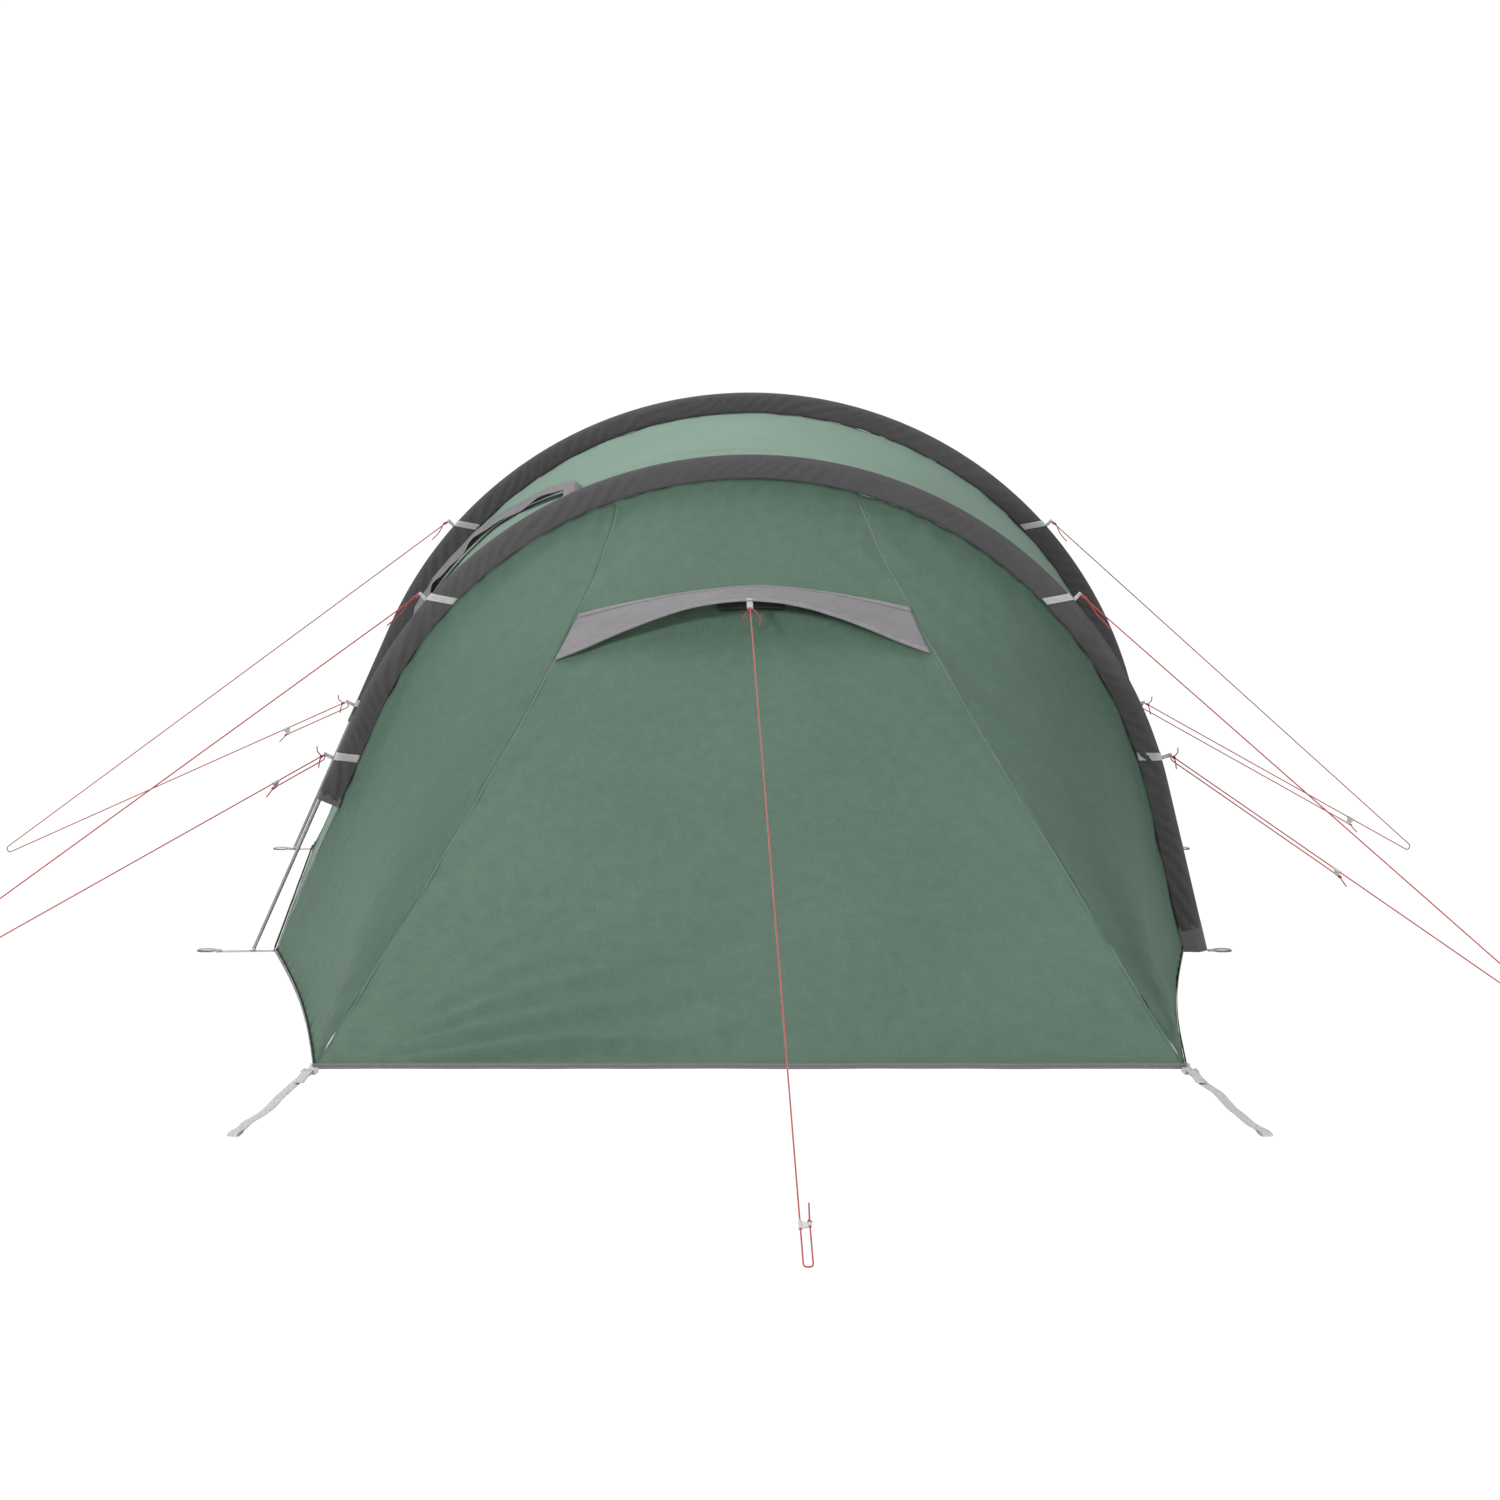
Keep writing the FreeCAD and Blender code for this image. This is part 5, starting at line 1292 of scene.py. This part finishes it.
def low_share(side):
    """The share of the girth where the inner canopy meets the bathtub wall."""
    return side * (1 - (1 - arc_share(side)) * BATHTUB / REAR.knee_z(side, INNER_INSET))


def front_wall_y(z):
    return INNER_FRONT_Y - FRONT_LEAN * z


def inner_hoop_line(y_of, girths):
    points = []
    for girth in girths:
        z = Hoop(INNER_HOOP_Y).run(girth, INNER_INSET).z
        points.append(Hoop(y_of(z)).run(girth, INNER_INSET))
    return points


def inner_tent():
    girths = spread(low_share(LEFT), low_share(RIGHT), 90)
    back = inner_hoop_line(lambda z: INNER_HOOP_Y, girths)
    front = inner_hoop_line(front_wall_y, girths)
    rows = []
    for share in spread(0, 1, 30):
        sag = 0.012 * sin(pi * share)
        rows.append([a.lerp(b, share) - Hoop(0).outward(girth) * sag * (1 - abs(girth) ** 4)
                     for a, b, girth in zip(back, front, girths)])
    cloth_piece("inner_roof", rows, "tent", "inner_fabric", ["inner_canopy"], soft)
    fan = [inner_corner(LEFT, BATHTUB).lerp(inner_corner(RIGHT, BATHTUB), eased((girth - turn_share(-20))
           / (turn_share(20) - turn_share(-20)))) for girth in girths]
    rows = [[a.lerp(b, share) - Vector((0, -0.012, 0.020)) * sin(pi * share) for a, b in zip(back, fan)]
            for share in spread(0, 1, 40)]
    cloth_piece("inner_rear", rows, "tent", "inner_fabric", ["inner_rear_wall"], soft)

    def door_half(z):
        rise = (z - (DOOR_TOP - DOOR_CUT)) / DOOR_CUT
        return DOOR_HALF if rise < 0 else DOOR_HALF - DOOR_CUT * (1 - (1 - min(rise, 1) ** 2) ** 0.5)

    levels = spread(BATHTUB, DOOR_TOP - DOOR_CUT, 14) + [DOOR_TOP - DOOR_CUT * (1 - sin(pi / 2 * k / 8))
                                                         for k in range(1, 9)]
    frame_line = [Vector((-door_half(z), 0, z)) for z in levels]
    half = door_half(DOOR_TOP)
    frame_line += [Vector((x, 0, DOOR_TOP)) for x in spread(-half, half, 12)[1:-1]]
    frame_line += [Vector((door_half(z), 0, z)) for z in reversed(levels)]
    frame_line = [Vector((p.x, front_wall_y(p.z), p.z)) for p in frame_line]
    girths = spread(low_share(LEFT), low_share(RIGHT), len(frame_line))
    outer = inner_hoop_line(front_wall_y, girths)
    rows = [[a.lerp(b, share) for a, b in zip(outer, frame_line)] for share in spread(0, 1, 14)]
    cloth_piece("inner_front", rows, "tent", "inner_fabric", ["inner_front_wall"], lambda p: 0.4 * soft(p))
    inset = 0.0015
    rows = [[Vector((x, front_wall_y(z), min(z, DOOR_TOP - inset))) for x in
             spread(-door_half(z) + inset, door_half(z) - inset, 26)] for z in [BATHTUB + 0.002] + levels[1:]]
    cloth_piece("inner_door_sheet", rows, "inner_door", "inner_fabric", ["inner_door"], lambda p: 0.3 * soft(p))
    zip_line = frame_line[1:-1]
    rows = ribbon_rows(zip_line, [Vector((0, 1, FRONT_LEAN))] * len(zip_line), 0.010, lift=0.0018)
    ribbon_piece("inner_door_zip", rows, "tent", "zip_black", [], 0.0010)

    def ring(z):
        left, right = [[inner_corner(side, z), inner_point(side, z, INNER_HOOP_Y),
                        inner_point(side, z, front_wall_y(z))] for side in SIDES]
        corners = left + right[::-1]
        line = []
        for a, b in zip(corners, corners[1:] + corners[:1]):
            line += [a.lerp(b, k / 18) for k in range(18)]
        return line + [corners[0].copy()]
    rows = [ring(z) for z in spread(0.0015, BATHTUB, 9)]
    cloth_piece("bathtub", rows, "tent", "groundsheet_pe", ["bathtub_walls"],
                lambda p: 0.0012 * rumple(p, 0.12, 44.0) * sin(pi * p.z / BATHTUB))

    rows = []
    for y in spread(INNER_REAR_Y, INNER_FRONT_Y, 60):
        ends = []
        for side in SIDES:
            corner, foot = inner_corner(side, 0), inner_point(side, 0, INNER_HOOP_Y)
            share = (y - corner.y) / (foot.y - corner.y)
            ends.append(corner.lerp(foot, share) if share < 1 else inner_point(side, 0, y))
        rows.append([ends[0].lerp(ends[1], w) + UP * 0.0007 for w in spread(0, 1, 60)])
    cloth_piece("groundsheet_sheet", rows, "tent", "groundsheet_pe", ["groundsheet"],
                lambda p: 0.0009 * max(rumple(p, 0.11, 45.0), 0) ** 2)


HANGER_TURNS = (-60, -28, -6, 6, 28, 68)


def hangers():
    """Elastic loops with toggles that hold the inner tent up under the flysheet."""
    number = 0
    for y in (INNER_HOOP_Y + 0.06, INNER_FRONT_Y - 0.08):
        for turn in HANGER_TURNS:
            number += 1
            share = turn_share(turn)
            top = tunnel_surface(share, (y - REAR_Y) / SPACING)
            low = Hoop(y).run(share, INNER_INSET - 0.001)
            way = (low - top).normalized()
            path = [top + way * 0.004, top.lerp(low, 0.3), top.lerp(low, 0.6), low]
            label = "hanger_" + str(number)
            loop = tube_mesh(label, smooth_path(path, 3), 0.0015)
            finish_piece(label, loop, "tent", "hanger", ["inner_hangers"])
            middle = top.lerp(low, 0.62)
            bar = [middle + Vector((0, step, 0)) for step in spread(-0.007, 0.007, 5)]
            finish_piece(label + "_toggle", tube_mesh(label + "_toggle", bar, 0.003), "tent", "hanger")


inner_tent()
hangers()


# ---------------------------------------------------------------- finishes of the CAD's own pieces
for subpart in frame["record"]["subparts"]:
    shown = frame["nodes"][subpart["node"]]
    if not shown.hide_render:
        for place in shown.material_slots:
            place.material = MATERIALS[subpart["material_slot"]]
